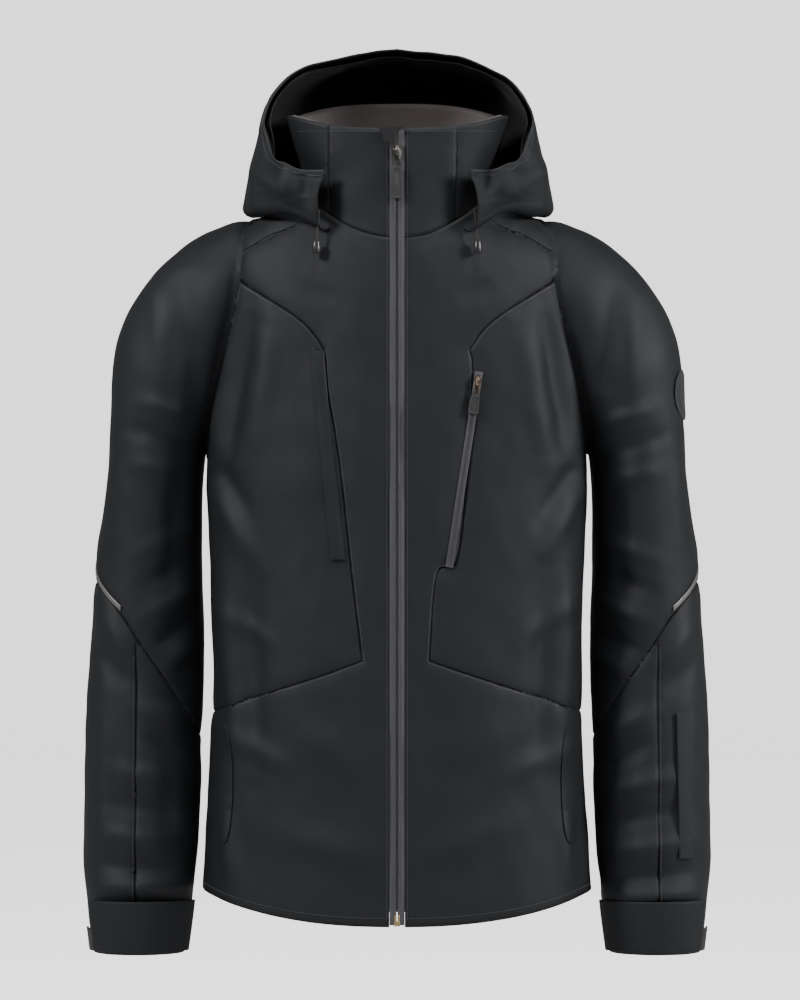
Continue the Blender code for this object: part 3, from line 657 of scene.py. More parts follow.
def even_spots(points, pitch):
    """(point, normal) pairs at an even pitch along a path."""
    found, left = [points[0]], pitch
    for (a, na), (b, nb) in zip(points, points[1:]):
        length = (b - a).length
        if length > LONGEST_STEP:
            left = pitch
            continue
        spot = left
        while spot <= length:
            t = spot / length
            found.append((a.lerp(b, t), na.lerp(nb, t).normalized()))
            spot += pitch
        left = spot - length
    return found


def stitch_into(bm, points, pitch, length=0.0022, width=0.00075, height=0.00055):
    """Lays a row of stitches along a path; each stitch is a short rounded bar."""
    spots = even_spots(points, pitch) if len(points) > 1 else []
    for place, along, normal in path_frames(spots):
        side = along.cross(normal)
        turn = Matrix((along, side, normal)).transposed().to_4x4()
        made = bmesh.ops.create_cube(bm, size=1.0)["verts"]
        bmesh.ops.scale(bm, vec=(length, width, height), verts=made)
        for vertex in made:
            if vertex.co.z > 0:
                vertex.co.x *= 0.7
                vertex.co.y *= 0.6
        bmesh.ops.transform(bm, matrix=Matrix.Translation(place + normal * height * 0.35) @ turn, verts=made)


def bartack_into(bm, tree, x, z, dx, dz, width=0.225):
    """A row of dense short stitches that locks the end of a seam or a pocket."""
    for t in np.linspace(-1, 1, 13):
        middle_x, middle_z = x + dx * t, z + dz * t
        line = [(middle_x - dz * width, middle_z + dx * width),
                (middle_x + dz * width, middle_z - dx * width)]
        points = landed(tree, line, gap=0.0008)
        if len(points) > 1:
            length = (points[-1][0] - points[0][0]).length
            stitch_into(bm, [points[0], points[-1]], 1.0, length, 0.0005, 0.0007)


def lofted(rings):
    """A closed solid through rings of points, capped at both ends."""
    bm = bmesh.new()
    loops = []
    for ring in rings:
        verts = [bm.verts.new(point) for point in ring]
        loops.append([bm.edges.new((a, b)) for a, b in zip(verts, verts[1:] + verts[:1])])
    for a, b in zip(loops, loops[1:]):
        bmesh.ops.bridge_loops(bm, edges=a + b)
    bmesh.ops.holes_fill(bm, edges=[edge for edge in bm.edges if edge.is_boundary], sides=0)
    bmesh.ops.recalc_face_normals(bm, faces=bm.faces)
    return bm


def at(x, y, z):
    return Matrix.Translation((x, y, z))


def rounded_box(size, bevel, segments=3, place=None):
    bm = bmesh.new()
    bmesh.ops.create_cube(bm, size=1.0)
    bmesh.ops.scale(bm, vec=size, verts=bm.verts)
    bmesh.ops.bevel(bm, geom=bm.edges, offset=bevel, segments=segments, profile=0.5, affect="EDGES",
                    material=-1)
    if place:
        bmesh.ops.transform(bm, matrix=place, verts=bm.verts)
    return bm


def merge_into(bm, other):
    mesh = bpy.data.meshes.new("joined")
    other.to_mesh(mesh)
    other.free()
    bm.from_mesh(mesh)
    bpy.data.meshes.remove(mesh)
    return bm


def zip_frame(z):
    """Local axes on the front zip's line: Z runs up the zip and -Y faces out."""
    lean = math.atan2(ZIP_HEM_Y - ZIP_TOP_Y, COLLAR_TOP_Z - HEM_FRONT_Z)
    return at(0.0, zip_y(z), z) @ Matrix.Rotation(lean, 4, "X")


# ---------------------------------------------------------------- folds of this jacket
# A fold is (x0, z0, x1, z1, width, height, side); side is -1 for the front, 1 for the back, 0 for both.
BODY_FOLDS = [
    (-0.150, -0.130, -0.178, -0.300, 0.012, -0.0050, -1), (0.150, -0.130, 0.178, -0.300, 0.012, -0.0050, -1),
    (-0.128, -0.150, -0.150, -0.290, 0.014, 0.0030, -1), (0.130, -0.150, 0.148, -0.290, 0.014, 0.0030, -1),
    (-0.186, -0.290, -0.150, -0.345, 0.010, -0.0035, -1), (0.186, -0.290, 0.146, -0.350, 0.010, -0.0035, -1),
    (-0.188, -0.320, -0.140, -0.400, 0.010, 0.0028, -1), (0.188, -0.320, 0.140, -0.395, 0.010, 0.0028, -1),
    (-0.176, -0.380, -0.160, -0.600, 0.012, 0.0045, -1), (0.172, -0.390, 0.164, -0.600, 0.012, 0.0040, -1),
    (-0.150, -0.390, -0.143, -0.620, 0.013, -0.0035, -1), (0.148, -0.400, 0.143, -0.600, 0.013, -0.0030, -1),
    (-0.178, -0.440, -0.120, -0.480, 0.010, 0.0024, -1), (0.178, -0.430, 0.125, -0.475, 0.010, 0.0024, -1),
    (-0.180, -0.560, -0.110, -0.600, 0.011, 0.0022, -1), (0.180, -0.580, 0.100, -0.610, 0.012, 0.0022, -1),
    (-0.172, -0.640, -0.166, -0.725, 0.010, 0.0040, -1), (0.172, -0.640, 0.168, -0.725, 0.010, 0.0035, -1),
    (-0.105, -0.560, -0.030, -0.600, 0.020, 0.0022, -1), (0.110, -0.560, 0.030, -0.590, 0.020, 0.0020, -1),
    (-0.120, -0.665, -0.020, -0.690, 0.016, 0.0020, -1), (0.120, -0.655, 0.020, -0.690, 0.016, 0.0020, -1),
    (-0.035, -0.120, -0.030, -0.500, 0.016, 0.0012, -1), (0.035, -0.120, 0.030, -0.500, 0.016, 0.0012, -1),
    (-0.100, -0.110, -0.060, -0.130, 0.010, -0.0018, -1), (0.100, -0.108, 0.060, -0.130, 0.010, -0.0018, -1),
    (-0.110, -0.130, 0.110, -0.130, 0.026, -0.0030, 1), (-0.150, -0.180, -0.020, -0.270, 0.014, 0.0032, 1),
    (0.150, -0.180, 0.020, -0.270, 0.014, 0.0032, 1), (-0.165, -0.250, -0.040, -0.340, 0.013, -0.0030, 1),
    (0.165, -0.250, 0.040, -0.340, 0.013, -0.0030, 1), (-0.150, -0.440, 0.120, -0.455, 0.014, 0.0032, 1),
    (-0.120, -0.480, 0.150, -0.490, 0.013, -0.0030, 1), (-0.150, -0.520, 0.090, -0.535, 0.014, 0.0026, 1),
    (-0.060, -0.560, -0.070, -0.720, 0.016, 0.0030, 1), (0.075, -0.560, 0.065, -0.720, 0.016, 0.0030, 1),
]
SLEEVE_FOLDS = [
    (0.222, -0.100, 0.205, -0.230, 0.012, -0.0042, -1), (0.245, -0.110, 0.232, -0.240, 0.013, 0.0028, -1),
    (0.210, -0.255, 0.262, -0.235, 0.009, 0.0030, -1), (0.208, -0.285, 0.275, -0.262, 0.009, -0.0030, -1),
    (0.208, -0.312, 0.270, -0.300, 0.009, 0.0024, -1), (0.222, -0.300, 0.232, -0.430, 0.010, -0.0028, -1),
    (0.286, -0.230, 0.292, -0.370, 0.012, 0.0026, -1), (0.205, -0.370, 0.268, -0.392, 0.009, 0.0024, -1),
    (0.205, -0.400, 0.262, -0.425, 0.009, -0.0030, -1), (0.203, -0.430, 0.256, -0.455, 0.009, 0.0034, -1),
    (0.203, -0.462, 0.246, -0.483, 0.008, -0.0034, -1), (0.203, -0.490, 0.236, -0.505, 0.008, 0.0030, -1),
    (0.300, -0.460, 0.270, -0.500, 0.008, 0.0026, -1), (0.308, -0.490, 0.272, -0.530, 0.009, -0.0026, -1),
    (0.210, -0.570, 0.262, -0.545, 0.009, 0.0030, -1), (0.208, -0.600, 0.262, -0.575, 0.009, -0.0030, -1),
    (0.210, -0.630, 0.290, -0.610, 0.010, 0.0030, -1), (0.210, -0.660, 0.300, -0.642, 0.009, -0.0026, -1),
    (0.214, -0.690, 0.305, -0.675, 0.010, 0.0032, -1), (0.214, -0.716, 0.310, -0.706, 0.008, -0.0030, -1),
    (0.216, -0.734, 0.306, -0.730, 0.007, 0.0034, 0), (0.218, -0.750, 0.306, -0.748, 0.006, -0.0026, 0),
    (0.296, -0.540, 0.300, -0.680, 0.010, 0.0024, -1), (0.232, -0.600, 0.234, -0.720, 0.010, -0.0020, -1),
    (0.210, -0.200, 0.290, -0.260, 0.014, 0.0034, 1), (0.210, -0.240, 0.290, -0.300, 0.012, -0.0034, 1),
    (0.220, -0.360, 0.300, -0.380, 0.012, 0.0030, 1), (0.215, -0.400, 0.300, -0.410, 0.011, -0.0030, 1),
    (0.210, -0.560, 0.310, -0.540, 0.013, 0.0032, 1), (0.210, -0.600, 0.310, -0.590, 0.012, -0.0032, 1),
    (0.210, -0.660, 0.310, -0.650, 0.012, 0.0028, 1),
]
HOOD_FOLDS = [
    (-0.130, 0.055, -0.140, -0.020, 0.012, -0.0040, 0), (0.128, 0.055, 0.140, -0.020, 0.012, -0.0040, 0),
    (-0.118, 0.020, -0.108, -0.025, 0.010, 0.0040, -1), (0.116, 0.015, 0.104, -0.025, 0.010, 0.0045, -1),
    (0.093, 0.006, 0.090, -0.022, 0.008, -0.0060, -1), (-0.096, 0.002, -0.092, -0.026, 0.008, -0.0035, -1),
    (-0.150, 0.010, -0.118, -0.018, 0.009, 0.0035, -1), (0.150, 0.010, 0.122, -0.016, 0.009, 0.0035, -1),
    (-0.100, 0.100, -0.030, 0.020, 0.020, 0.0040, 1), (0.100, 0.095, 0.040, 0.020, 0.020, 0.0040, 1),
    (-0.060, 0.060, 0.060, 0.050, 0.016, -0.0045, 1), (-0.080, 0.020, 0.080, 0.014, 0.016, 0.0040, 1),
    (-0.130, 0.040, -0.110, 0.000, 0.014, -0.0040, 1), (0.130, 0.040, 0.110, 0.000, 0.014, -0.0040, 1),
]
BELOW_COLLAR = (COLLAR_ROWS, len(BODY_ROWS) - 1)
BODY_GIRTH = 1.16
SLEEVE_GIRTH = 0.36
HOOD_GIRTH = 0.78
FABRIC_WALL = 0.0018
ZIP_OPENING = 0.0078
BURIED = 0.0040


def everywhere(point):
    return True


def body_seams():
    """Every seam line of the body with the test for where it runs."""
    found = []
    for sign, pocket in ((1, LEFT_POCKET_SEAM), (-1, RIGHT_POCKET_SEAM)):
        for points in (YOKE_SEAM, pocket, belly_seam(pocket)):
            line = on_side(sign, curve_through(points))
            found.append((line, lambda p, sign=sign: p.y < SIDE_SEAM_Y and p.x * sign > 0))
        found.append((on_side(sign, curve_through(RAGLAN_SEAM)), everywhere))
    return found


def outlines_of(pocket):
    """Front-view outlines of the shoulder yoke and of the side front, for the wearer's left."""
    raglan = curve_through(RAGLAN_SEAM)
    yoke = [*raglan, (0.5, -0.140), (0.5, 0.3), (0.06, 0.3)]
    side = [*curve_through(YOKE_SEAM), *curve_through(pocket), *curve_through(belly_seam(pocket)),
            (0.5, -0.565), (0.5, -0.140), *raglan[:24:-1]]
    return yoke, side


OUTLINES = {1: outlines_of(LEFT_POCKET_SEAM), -1: outlines_of(RIGHT_POCKET_SEAM)}


def body_piece_name(centre):
    sign = 1 if centre.x > 0 else -1
    side = "left" if sign > 0 else "right"
    yoke, flank = OUTLINES[sign]
    x, z = centre.x * sign, centre.z
    if encloses(yoke, x, z):
        return f"shoulder_yoke_{side}"
    if centre.y > (SIDE_SEAM_Y if z < -0.15 else 0.02):
        return "back_panel"
    return f"side_front_{side}" if encloses(flank, x, z) else f"centre_front_{side}"


def closed_tree(surface, rows, girth, inside, mirror=False):
    bm = wrapped(surface, (0.0, 1.0), rows, 0.010, girth, closed=True)
    turn_outwards(bm, inside)
    if mirror:
        mirror_mesh(bm)
    tree = BVHTree.FromBMesh(bm)
    bm.free()
    return tree


def sleeve_trees():
    return [closed_tree(sleeve, (0, 6), SLEEVE_GIRTH, sleeve_axis, mirror) for mirror in (False, True)]


def depth_in(tree, point):
    """How far a point is inside (positive) or outside (negative) a closed surface."""
    spot, normal, _, gap = tree.find_nearest(point)
    return gap if (point - spot).dot(normal) < 0 else -gap


def trim_inside(bm, trees, limit=BURIED, crease=0.0024):
    """Creases the cloth where it meets a neighbour and removes what is buried in it."""
    bm.normal_update()
    depths = {vertex: max(depth_in(tree, vertex.co) for tree in trees) for vertex in bm.verts}
    buried = [face for face in bm.faces if min(depths[vertex] for vertex in face.verts) > limit]
    for vertex, depth in depths.items():
        if depth < 0.0:
            vertex.co -= vertex.normal * crease * math.exp(-((depth / 0.006) ** 2))
    bmesh.ops.delete(bm, geom=buried, context="FACES")


def beside_sides(point):
    return abs(point.x) > 0.13 and point.z < -0.16 and abs(point.y - SIDE_SEAM_Y) < 0.02


def cut_at_plane(bm, spot, normal, allowed):
    """Cuts the faces that allowed picks at a plane, with a narrow row on both sides."""
    spot, normal = Vector(spot), Vector(normal)
    for distance in (SEAM_BAND, -SEAM_BAND, 0.0):
        geom = list({item for face in bm.faces if allowed(face.calc_center_median())
                     for item in (*face.verts, *face.edges, face)})
        bmesh.ops.bisect_plane(bm, geom=geom, plane_co=spot + normal * distance, plane_no=normal,
                               dist=CUT_SNAP)


def cut_seam(bm, line, allowed):
    """Cuts the mesh along a front-view line, with a narrow row on both sides."""
    for distance in (SEAM_BAND, -SEAM_BAND, 0.0):
        cut_along(bm, shifted(line, distance) if distance else line, allowed)


def open_front(bm):
    """Cuts out the strip where the front zip goes."""
    for x in (-ZIP_OPENING, ZIP_OPENING):
        cut_at_plane(bm, (x, 0, 0), (1, 0, 0), lambda p: p.y < 0 and abs(p.x) < 0.02)
    middles = {face: face.calc_center_median() for face in bm.faces}
    gone = [face for face, p in middles.items() if abs(p.x) < ZIP_OPENING and p.y < 0]
    bmesh.ops.delete(bm, geom=gone, context="FACES")


def sewn_body():
    """The panels of the body from one dressed grid that is cut along its seams."""
    bm = wrapped(body, (0.0, 1.0), (COLLAR_ROWS - 0.02, len(BODY_ROWS) - 1), fabric().grid_step, BODY_GIRTH)
    bmesh.ops.remove_doubles(bm, verts=bm.verts, dist=WELD)
    turn_outwards(bm, body_axis)
    seams = body_seams()
    for line, allowed in seams:
        cut_seam(bm, line, allowed)
    open_front(bm)
    cut_at_plane(bm, (0, SIDE_SEAM_Y, 0), (0, 1, 0), beside_sides)
    plain = [vertex.co.copy() for vertex in bm.verts]
    crumple(bm, BODY_FOLDS)
    calm_chest_zip(bm, plain)
    sink_seams(bm, [line for line, _ in seams], outside_the_sleeve)
    sink_sides(bm)
    trim_inside(bm, sleeve_trees())
    return split_pieces(bm, body_piece_name)


def calm_chest_zip(bm, plain, sink=0.0016, reach=0.010):
    """Beside the chest zip the cloth lies flat and a little sunk, so that the tape of the zip shows."""
    points, _ = flat_of(bm)
    gaps, _ = line_distance(points, list(CHEST_ZIP))
    for vertex, before, gap in zip(bm.verts, plain, gaps):
        if gap < 3 * reach and vertex.co.y < SIDE_SEAM_Y:
            vertex.co = vertex.co.lerp(before - vertex.normal * sink, math.exp(-((gap / reach) ** 2)))


def outside_the_sleeve(point):
    return point.y < SIDE_SEAM_Y or point.z > -0.115


def sink_sides(bm, depth=0.0016):
    """The side seams sink in."""
    bm.normal_update()
    for vertex in bm.verts:
        p = vertex.co
        if beside_sides(p):
            vertex.co -= vertex.normal * depth * math.exp(-(((p.y - SIDE_SEAM_Y) / 0.0022) ** 2))


# ---------------------------------------------------------------- the pieces
def panel(name, bm, finish, body_name="root", **settings):
    """A padded panel of outer cloth that takes the place of the CAD piece of the same name."""
    obj = add_piece(name, bm, finish, body_name, "shell_fabric", FABRIC_WALL, **settings)
    return obj


def inner(name, bm, finish, body_name="root", slot="lining_fabric", wall=0.0008, **settings):
    """A piece of thin cloth inside the jacket."""
    return add_piece(name, bm, finish, body_name, slot, wall, **settings)


def flex(obj):
    """Bakes the object's transform into its mesh."""
    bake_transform(obj)


def offset_inwards(bm, distance):
    bm.normal_update()
    for vertex in bm.verts:
        vertex.co -= vertex.normal * distance


def make_body():
    for name, bm in sewn_body().items():
        panel(name, bm, "shell")
    lining = wrapped(body, (0.012, 0.988), (COLLAR_ROWS + 0.2, len(BODY_ROWS) - 1.08), 0.009, BODY_GIRTH)
    turn_outwards(lining, body_axis)
    offset_inwards(lining, 0.013)
    crumple(lining, BODY_FOLDS, 2.0)
    trim_inside(lining, sleeve_trees(), 0.002, 0.0)
    inner("body_lining", lining, "dark_nylon")


ABOVE_ELBOW = [*curve_through(ELBOW_SEAM), (0.150, 0.0), (0.5, 0.0), (0.5, -0.378)]


def sleeve_name(centre):
    if encloses(ABOVE_ELBOW, centre.x, centre.z):
        return "sleeve_upper_left"
    return "forearm_inner_left" if centre.x < FOREARM_SEAM_X else "forearm_outer_left"


def lining_name(centre):
    return f"sleeve_lining_{'upper' if encloses(ABOVE_ELBOW, centre.x, centre.z) else 'lower'}_left"


def under_elbow(point):
    """The forearm near its lengthwise seam."""
    return point.z < -0.472 and abs(point.x - FOREARM_SEAM_X) < 0.02


def make_sleeves():
    """Upper sleeves, forearms, cuffs and what is sewn on them; the right one is the mirror image."""
    for side, sign in SIDES:
        bm = wrapped(sleeve, (0.0, 1.0), (0.0, CUFF_ROW), fabric().grid_step, SLEEVE_GIRTH, closed=True)
        turn_outwards(bm, sleeve_axis)
        elbow = curve_through(ELBOW_SEAM)
        cut_seam(bm, elbow, everywhere)
        folds = SLEEVE_FOLDS if sign > 0 else [(a, b + 0.012, c, d + 0.006, w * 1.05, h * 0.92, s)
                                               for a, b, c, d, w, h, s in SLEEVE_FOLDS]
        cut_at_plane(bm, (FOREARM_SEAM_X, 0, 0), (1, 0, 0), under_elbow)
        crumple(bm, folds)
        sink_seams(bm, [elbow], everywhere, 0.0016)
        sink_seams(bm, [[(FOREARM_SEAM_X, -0.478), (FOREARM_SEAM_X, -0.80)]], everywhere)
        trim_inside(bm, [closed_tree(body, BELOW_COLLAR, BODY_GIRTH, body_axis)], 0.009)
        pieces = split_pieces(bm, sleeve_name)
        for name, piece in pieces.items():
            obj = panel(name.replace("left", side), piece, "shell", None, mirror=sign < 0)
            flex(obj)
        lining = wrapped(sleeve, (0.0, 1.0), (5.0, 10.9), 0.007, SLEEVE_GIRTH, closed=True)
        turn_outwards(lining, sleeve_axis)
        offset_inwards(lining, 0.009)
        crumple(lining, folds)
        cut_seam(lining, elbow, everywhere)
        for name, piece in split_pieces(lining, lining_name).items():
            flex(inner(name.replace("left", side), piece, "dark_nylon", None, mirror=sign < 0))
        make_cuff(side, sign)


def make_cuff(side, sign):
    """The cuff's end, its tab, the loop patch and the stripe above the elbow."""
    arm = f"forearm_{side}"
    last = len(SLEEVE_ROWS) - 1
    cuff = wrapped(sleeve, (0.0, 1.0), (CUFF_ROW, last), fabric().grid_step, SLEEVE_GIRTH, closed=True)
    turn_outwards(cuff, sleeve_axis)
    crumple(cuff, SLEEVE_FOLDS, 0.6)
    cuff.normal_update()
    for vertex in cuff.verts:  # the end rolls in and the stitched seam above it sinks
        ends = math.exp(-(((vertex.co.z - CUFF_Z) / 0.0030) ** 2)) * 0.0022
        vertex.co -= vertex.normal * (ends + 0.0014 * math.exp(-(((vertex.co.z + 0.7660) / 0.002) ** 2)))
    panel(f"cuff_{side}", cuff, "shell", arm, mirror=sign < 0)
    tab = on_sleeve((-0.205, 0.160), (9.86, 10.88), 0.0052, 0.003)
    for vertex in tab.verts:
        p = vertex.co
        vertex.co += Vector((0, -0.0012 * math.sin(math.pi * min(1, max(0, (p.x - 0.22) / 0.09))), 0))
    name = f"cuff_tab_{side}"
    soften(add_piece(name, tab, "shell", name, "shell_fabric", 0.0024, mirror=sign < 0), 0.0009)
    patch = on_sleeve((0.165, 0.272), (10.40, 10.90), 0.0022, 0.002)
    soften(add_piece(f"loop_patch_{side}", patch, "loops", arm, "loop_pile", 0.0012, mirror=sign < 0), 0.0005)
    stripe = on_sleeve((0.07, 0.25), (5.90, 5.955), 0.0014, 0.002, 2.7)
    flex(add_piece(f"reflective_stripe_{side}", stripe, "reflective", None, "reflective_tape", 0.0006,
                   mirror=sign < 0))


def on_sleeve(turns, rows, lift, step, slope=0.0):
    """A patch of the sleeve's surface, lifted off it; its rows run aslant by slope."""
    def slanted(turn, row):
        return sleeve(turn, row + slope * (turns[1] - turn))

    bm = wrapped(slanted, turns, rows, step, SLEEVE_GIRTH, guide_turn=sum(turns) / 2)
    turn_outwards(bm, sleeve_axis)
    offset_inwards(bm, -lift)
    return bm


def soften(obj, width):
    bevel = obj.modifiers.new("soft edge", "BEVEL")
    bevel.width = width
    bevel.segments = 2
    bevel.angle_limit = math.radians(50)
    return obj


# ---------------------------------------------------------------- collar
COLLAR_SEAMS = {"left": 0.060, "right": -0.069}


def collar_name(centre):
    if centre.y > -0.03 or not COLLAR_SEAMS["right"] < centre.x < COLLAR_SEAMS["left"]:
        return "collar_back"
    return "collar_front_left" if centre.x > 0 else "collar_front_right"


def make_collar():
    bm = wrapped(body, (0.0, 1.0), (0.0, COLLAR_ROWS - 0.02), 0.0032, 0.40)
    bmesh.ops.remove_doubles(bm, verts=bm.verts, dist=WELD)
    turn_outwards(bm, neck_axis)
    open_front(bm)
    bm.normal_update()
    for vertex in bm.verts:
        p = vertex.co
        puff = noise.noise(p * 30) * 0.0012
        groove = 0.0
        if p.y < -0.03:
            groove = sum(math.exp(-(((p.x - x) / 0.002) ** 2)) for x in COLLAR_SEAMS.values())
        vertex.co += vertex.normal * (puff - groove * 0.0014)
    for x in COLLAR_SEAMS.values():
        cut_at_plane(bm, (x, 0, 0), (1, 0, 0), lambda p, x=x: p.y < -0.03 and abs(p.x - x) < 0.02)
    for name, piece in split_pieces(bm, collar_name).items():
        panel(name, piece, "shell")
    lining = wrapped(body, (0.014, 0.986), (0.0, COLLAR_ROWS + 0.15), 0.004, 0.40)
    turn_outwards(lining, neck_axis)
    offset_inwards(lining, 0.0055)
    for vertex in lining.verts:
        p = vertex.co
        vertex.co += Vector((0, 0, -0.0008)) + vertex.normal * noise.noise(p * 40) * 0.0010
    inner("collar_lining", lining, "satin", slot="collar_satin", wall=0.0012)


# ---------------------------------------------------------------- hood
HEM_SHARE = 0.16  # how far down the hem of the opening reaches
CROWN_SEAMS = (0.36, 0.64)


def hood_axis(point):
    return Vector((0.0, 0.03, 0.03))


def make_hood():
    shell = wrapped(hood, (0.0, 1.0), (0.0, 1.19), fabric().grid_step, HOOD_GIRTH, guide_turn=0.5)
    turn_outwards(shell, hood_axis)
    crumple(shell, HOOD_FOLDS, 1.6)
    sink_hood_seams(shell)
    flex_hood(panel("hood_shell", shell, "hood_shell", None))
    lining = wrapped(hood, (0.006, 0.994), (0.02, 1.0), 0.007, HOOD_GIRTH, guide_turn=0.5)
    turn_outwards(lining, hood_axis)
    offset_inwards(lining, 0.006)
    crumple(lining, HOOD_FOLDS, 2.0)
    flex_hood(inner("hood_lining", lining, "dark_nylon", None))
    make_hood_trim()


def hood_point(along, down, lift=0.0):
    """A point a little outside the hood's surface, with the way out."""
    a, b = hood(along + 0.004, down), hood(along - 0.004, down)
    c, d = hood(along, down + 0.01), hood(along, down - 0.01 if down > 0.01 else down)
    out = (a - b).cross(c - d).normalized()
    middle = hood(along, down)
    if out.dot(middle - hood_axis(middle)) < 0:
        out = -out
    return middle + out * lift, out


def sink_hood_seams(bm):
    """The hem seam round the opening and the two panel seams over the crown."""
    bm.normal_update()
    spots = []
    for along in np.linspace(0.01, 0.99, 160):
        spots.append(hood(along, HEM_SHARE))
    for along in CROWN_SEAMS:
        spots += [hood(along, down) for down in np.linspace(HEM_SHARE, 1.05, 60)]
    tree = KDTree(len(spots))
    for index, spot in enumerate(spots):
        tree.insert(spot, index)
    tree.balance()
    for vertex in bm.verts:
        gap = tree.find(vertex.co)[2]
        if gap < 0.02:
            vertex.co -= vertex.normal * (0.0022 * math.exp(-((gap / 0.0035) ** 2)))


def make_hood_trim():
    """Stitch rows along the hem of the opening and beside the crown seams."""
    tree = surface_tree(["hood_shell"])
    rows = [[(along, down) for along in np.linspace(0.012, 0.988, 200)] for down in (HEM_SHARE - 0.02, 0.03)]
    for seam in CROWN_SEAMS:
        rows += [[(seam + beside, down) for down in np.linspace(HEM_SHARE + 0.02, 0.95, 80)]
                 for beside in (-0.0045, 0.0045)]
    bm = bmesh.new()
    for row in rows:
        path = []
        for along, down in row:
            spot, out = hood_point(along, down)
            spot.y += PATTERN_Y
            near_spot, _, _, gap = tree.find_nearest(spot)
            if near_spot and gap < 0.015:
                path.append((near_spot, out))
        if len(path) > 2:
            stitch_into(bm, path, fabric().thread_pitch)
    flex_hood(add_thread("hood_stitching", bm, None))


def add_thread(name, bm, body_name="root"):
    obj = add_piece(name, bm, "thread", body_name, move=False, made_for_cad=False)
    obj.data.shade_flat()
    return obj


def flex_hood(obj):
    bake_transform(obj)


# ---------------------------------------------------------------- stage
CAMERA_PLACE = (0.003, -5.042, -0.33)
FLOOR_Z = -0.9
BOWL_RADIUS = 8.0
BOWL_BEND = 2.0
BOWL_TOP = 5.0
LAMP_AIM = Vector((0, -0.05, -0.35))
# Disk lamps: name, place, power in watts, diameter
LAMPS = [("key", (-2.3, -1.5, 1.5), 95, 0.8), ("rim", (2.5, -0.9, 0.8), 78, 0.8),
         ("top", (0.3, -0.9, 2.6), 50, 0.8), ("front", (0.9, -4.4, 1.4), 16, 1.6)]


def make_stage():
    """A pale floor that curves up into a round backdrop, soft lamps and the camera."""
    settings = bpy.context.scene.jacket_stage
    bm = bmesh.new()
    profile = [(0.0, FLOOR_Z), (BOWL_RADIUS - BOWL_BEND, FLOOR_Z)]
    profile += [(BOWL_RADIUS - BOWL_BEND * (1 - math.sin(a)), FLOOR_Z + BOWL_BEND * (1 - math.cos(a)))
                for a in np.linspace(0.1, math.pi / 2, 14)]
    profile.append((BOWL_RADIUS, BOWL_TOP))
    verts = [bm.verts.new((r, 0, z)) for r, z in profile]
    edges = [bm.edges.new(pair) for pair in zip(verts, verts[1:])]
    bmesh.ops.spin(bm, geom=verts + edges, cent=(0, 0, 0), axis=(0, 0, 1), angle=2 * math.pi, steps=64)
    bmesh.ops.remove_doubles(bm, verts=bm.verts, dist=1e-4)
    bmesh.ops.recalc_face_normals(bm, faces=bm.faces)
    if bm.faces[0].normal.z < 0:
        bmesh.ops.reverse_faces(bm, faces=bm.faces)
    mesh = bpy.data.meshes.new("floor")
    bm.to_mesh(mesh)
    bm.free()
    mesh.shade_smooth()
    floor = bpy.data.objects.new("floor", mesh)
    bpy.context.scene.collection.objects.link(floor)
    paper = Finish("paper", (0.55, 0.55, 0.55), 0.9, Emission_Strength=settings.backdrop_glow)
    seen = Sock(paper, paper.tree.nodes.new("ShaderNodeLightPath").outputs["Is Camera Ray"])
    paper.set("Emission Color", paper.mix(seen, (0.04, 0.04, 0.04), (1.0, 1.0, 1.0)))
    mesh.materials.append(paper.material)
    for name, place, energy, size in LAMPS:
        lamp = bpy.data.lights.new(name, "AREA")
        lamp.energy = energy
        lamp.shape = "DISK"
        lamp.size = size
        obj = bpy.data.objects.new(name, lamp)
        bpy.context.scene.collection.objects.link(obj)
        obj.location = place
        obj.rotation_euler = (LAMP_AIM - Vector(place)).to_track_quat("-Z", "Y").to_euler()
        obj.visible_camera = False
    world = bpy.data.worlds.new("studio")
    world.use_nodes = True
    sky = world.node_tree.nodes["Background"]
    sky.inputs["Color"].default_value = (0.95, 0.97, 1.0, 1.0)
    sky.inputs["Strength"].default_value = settings.ambient
    bpy.context.scene.world = world
    camera = bpy.data.cameras.new("camera")
    camera.lens = settings.lens
    camera.sensor_fit = "AUTO"
    view = bpy.data.objects.new("camera", camera)
    bpy.context.scene.collection.objects.link(view)
    view.location = CAMERA_PLACE
    view.rotation_euler = (math.pi / 2, 0, 0)
    bpy.context.scene.camera = view


# ---------------------------------------------------------------- front zip
TOOTH_PITCH = 0.0016
ZIP_MIDDLE = zip_frame((COLLAR_TOP_Z + HEM_FRONT_Z) / 2)
ZIP_LENGTH = (COLLAR_TOP_Z - HEM_FRONT_Z) * 1.0017
SLIDER_Z = 0.0218
FLAP_SIZE = (0.031, ZIP_LENGTH - 0.050)  # width and length of the wind flap
TO_ORIGIN = at(0.0, PATTERN_Y, 0.0)


def hardware(name, bm, finish, body_name="root", slot=None, smooth=40):
    """A small hard piece that is already in its place in the jacket's frame."""
    return add_piece(name, bm, finish, body_name, slot, move=False, smooth_angle=smooth)


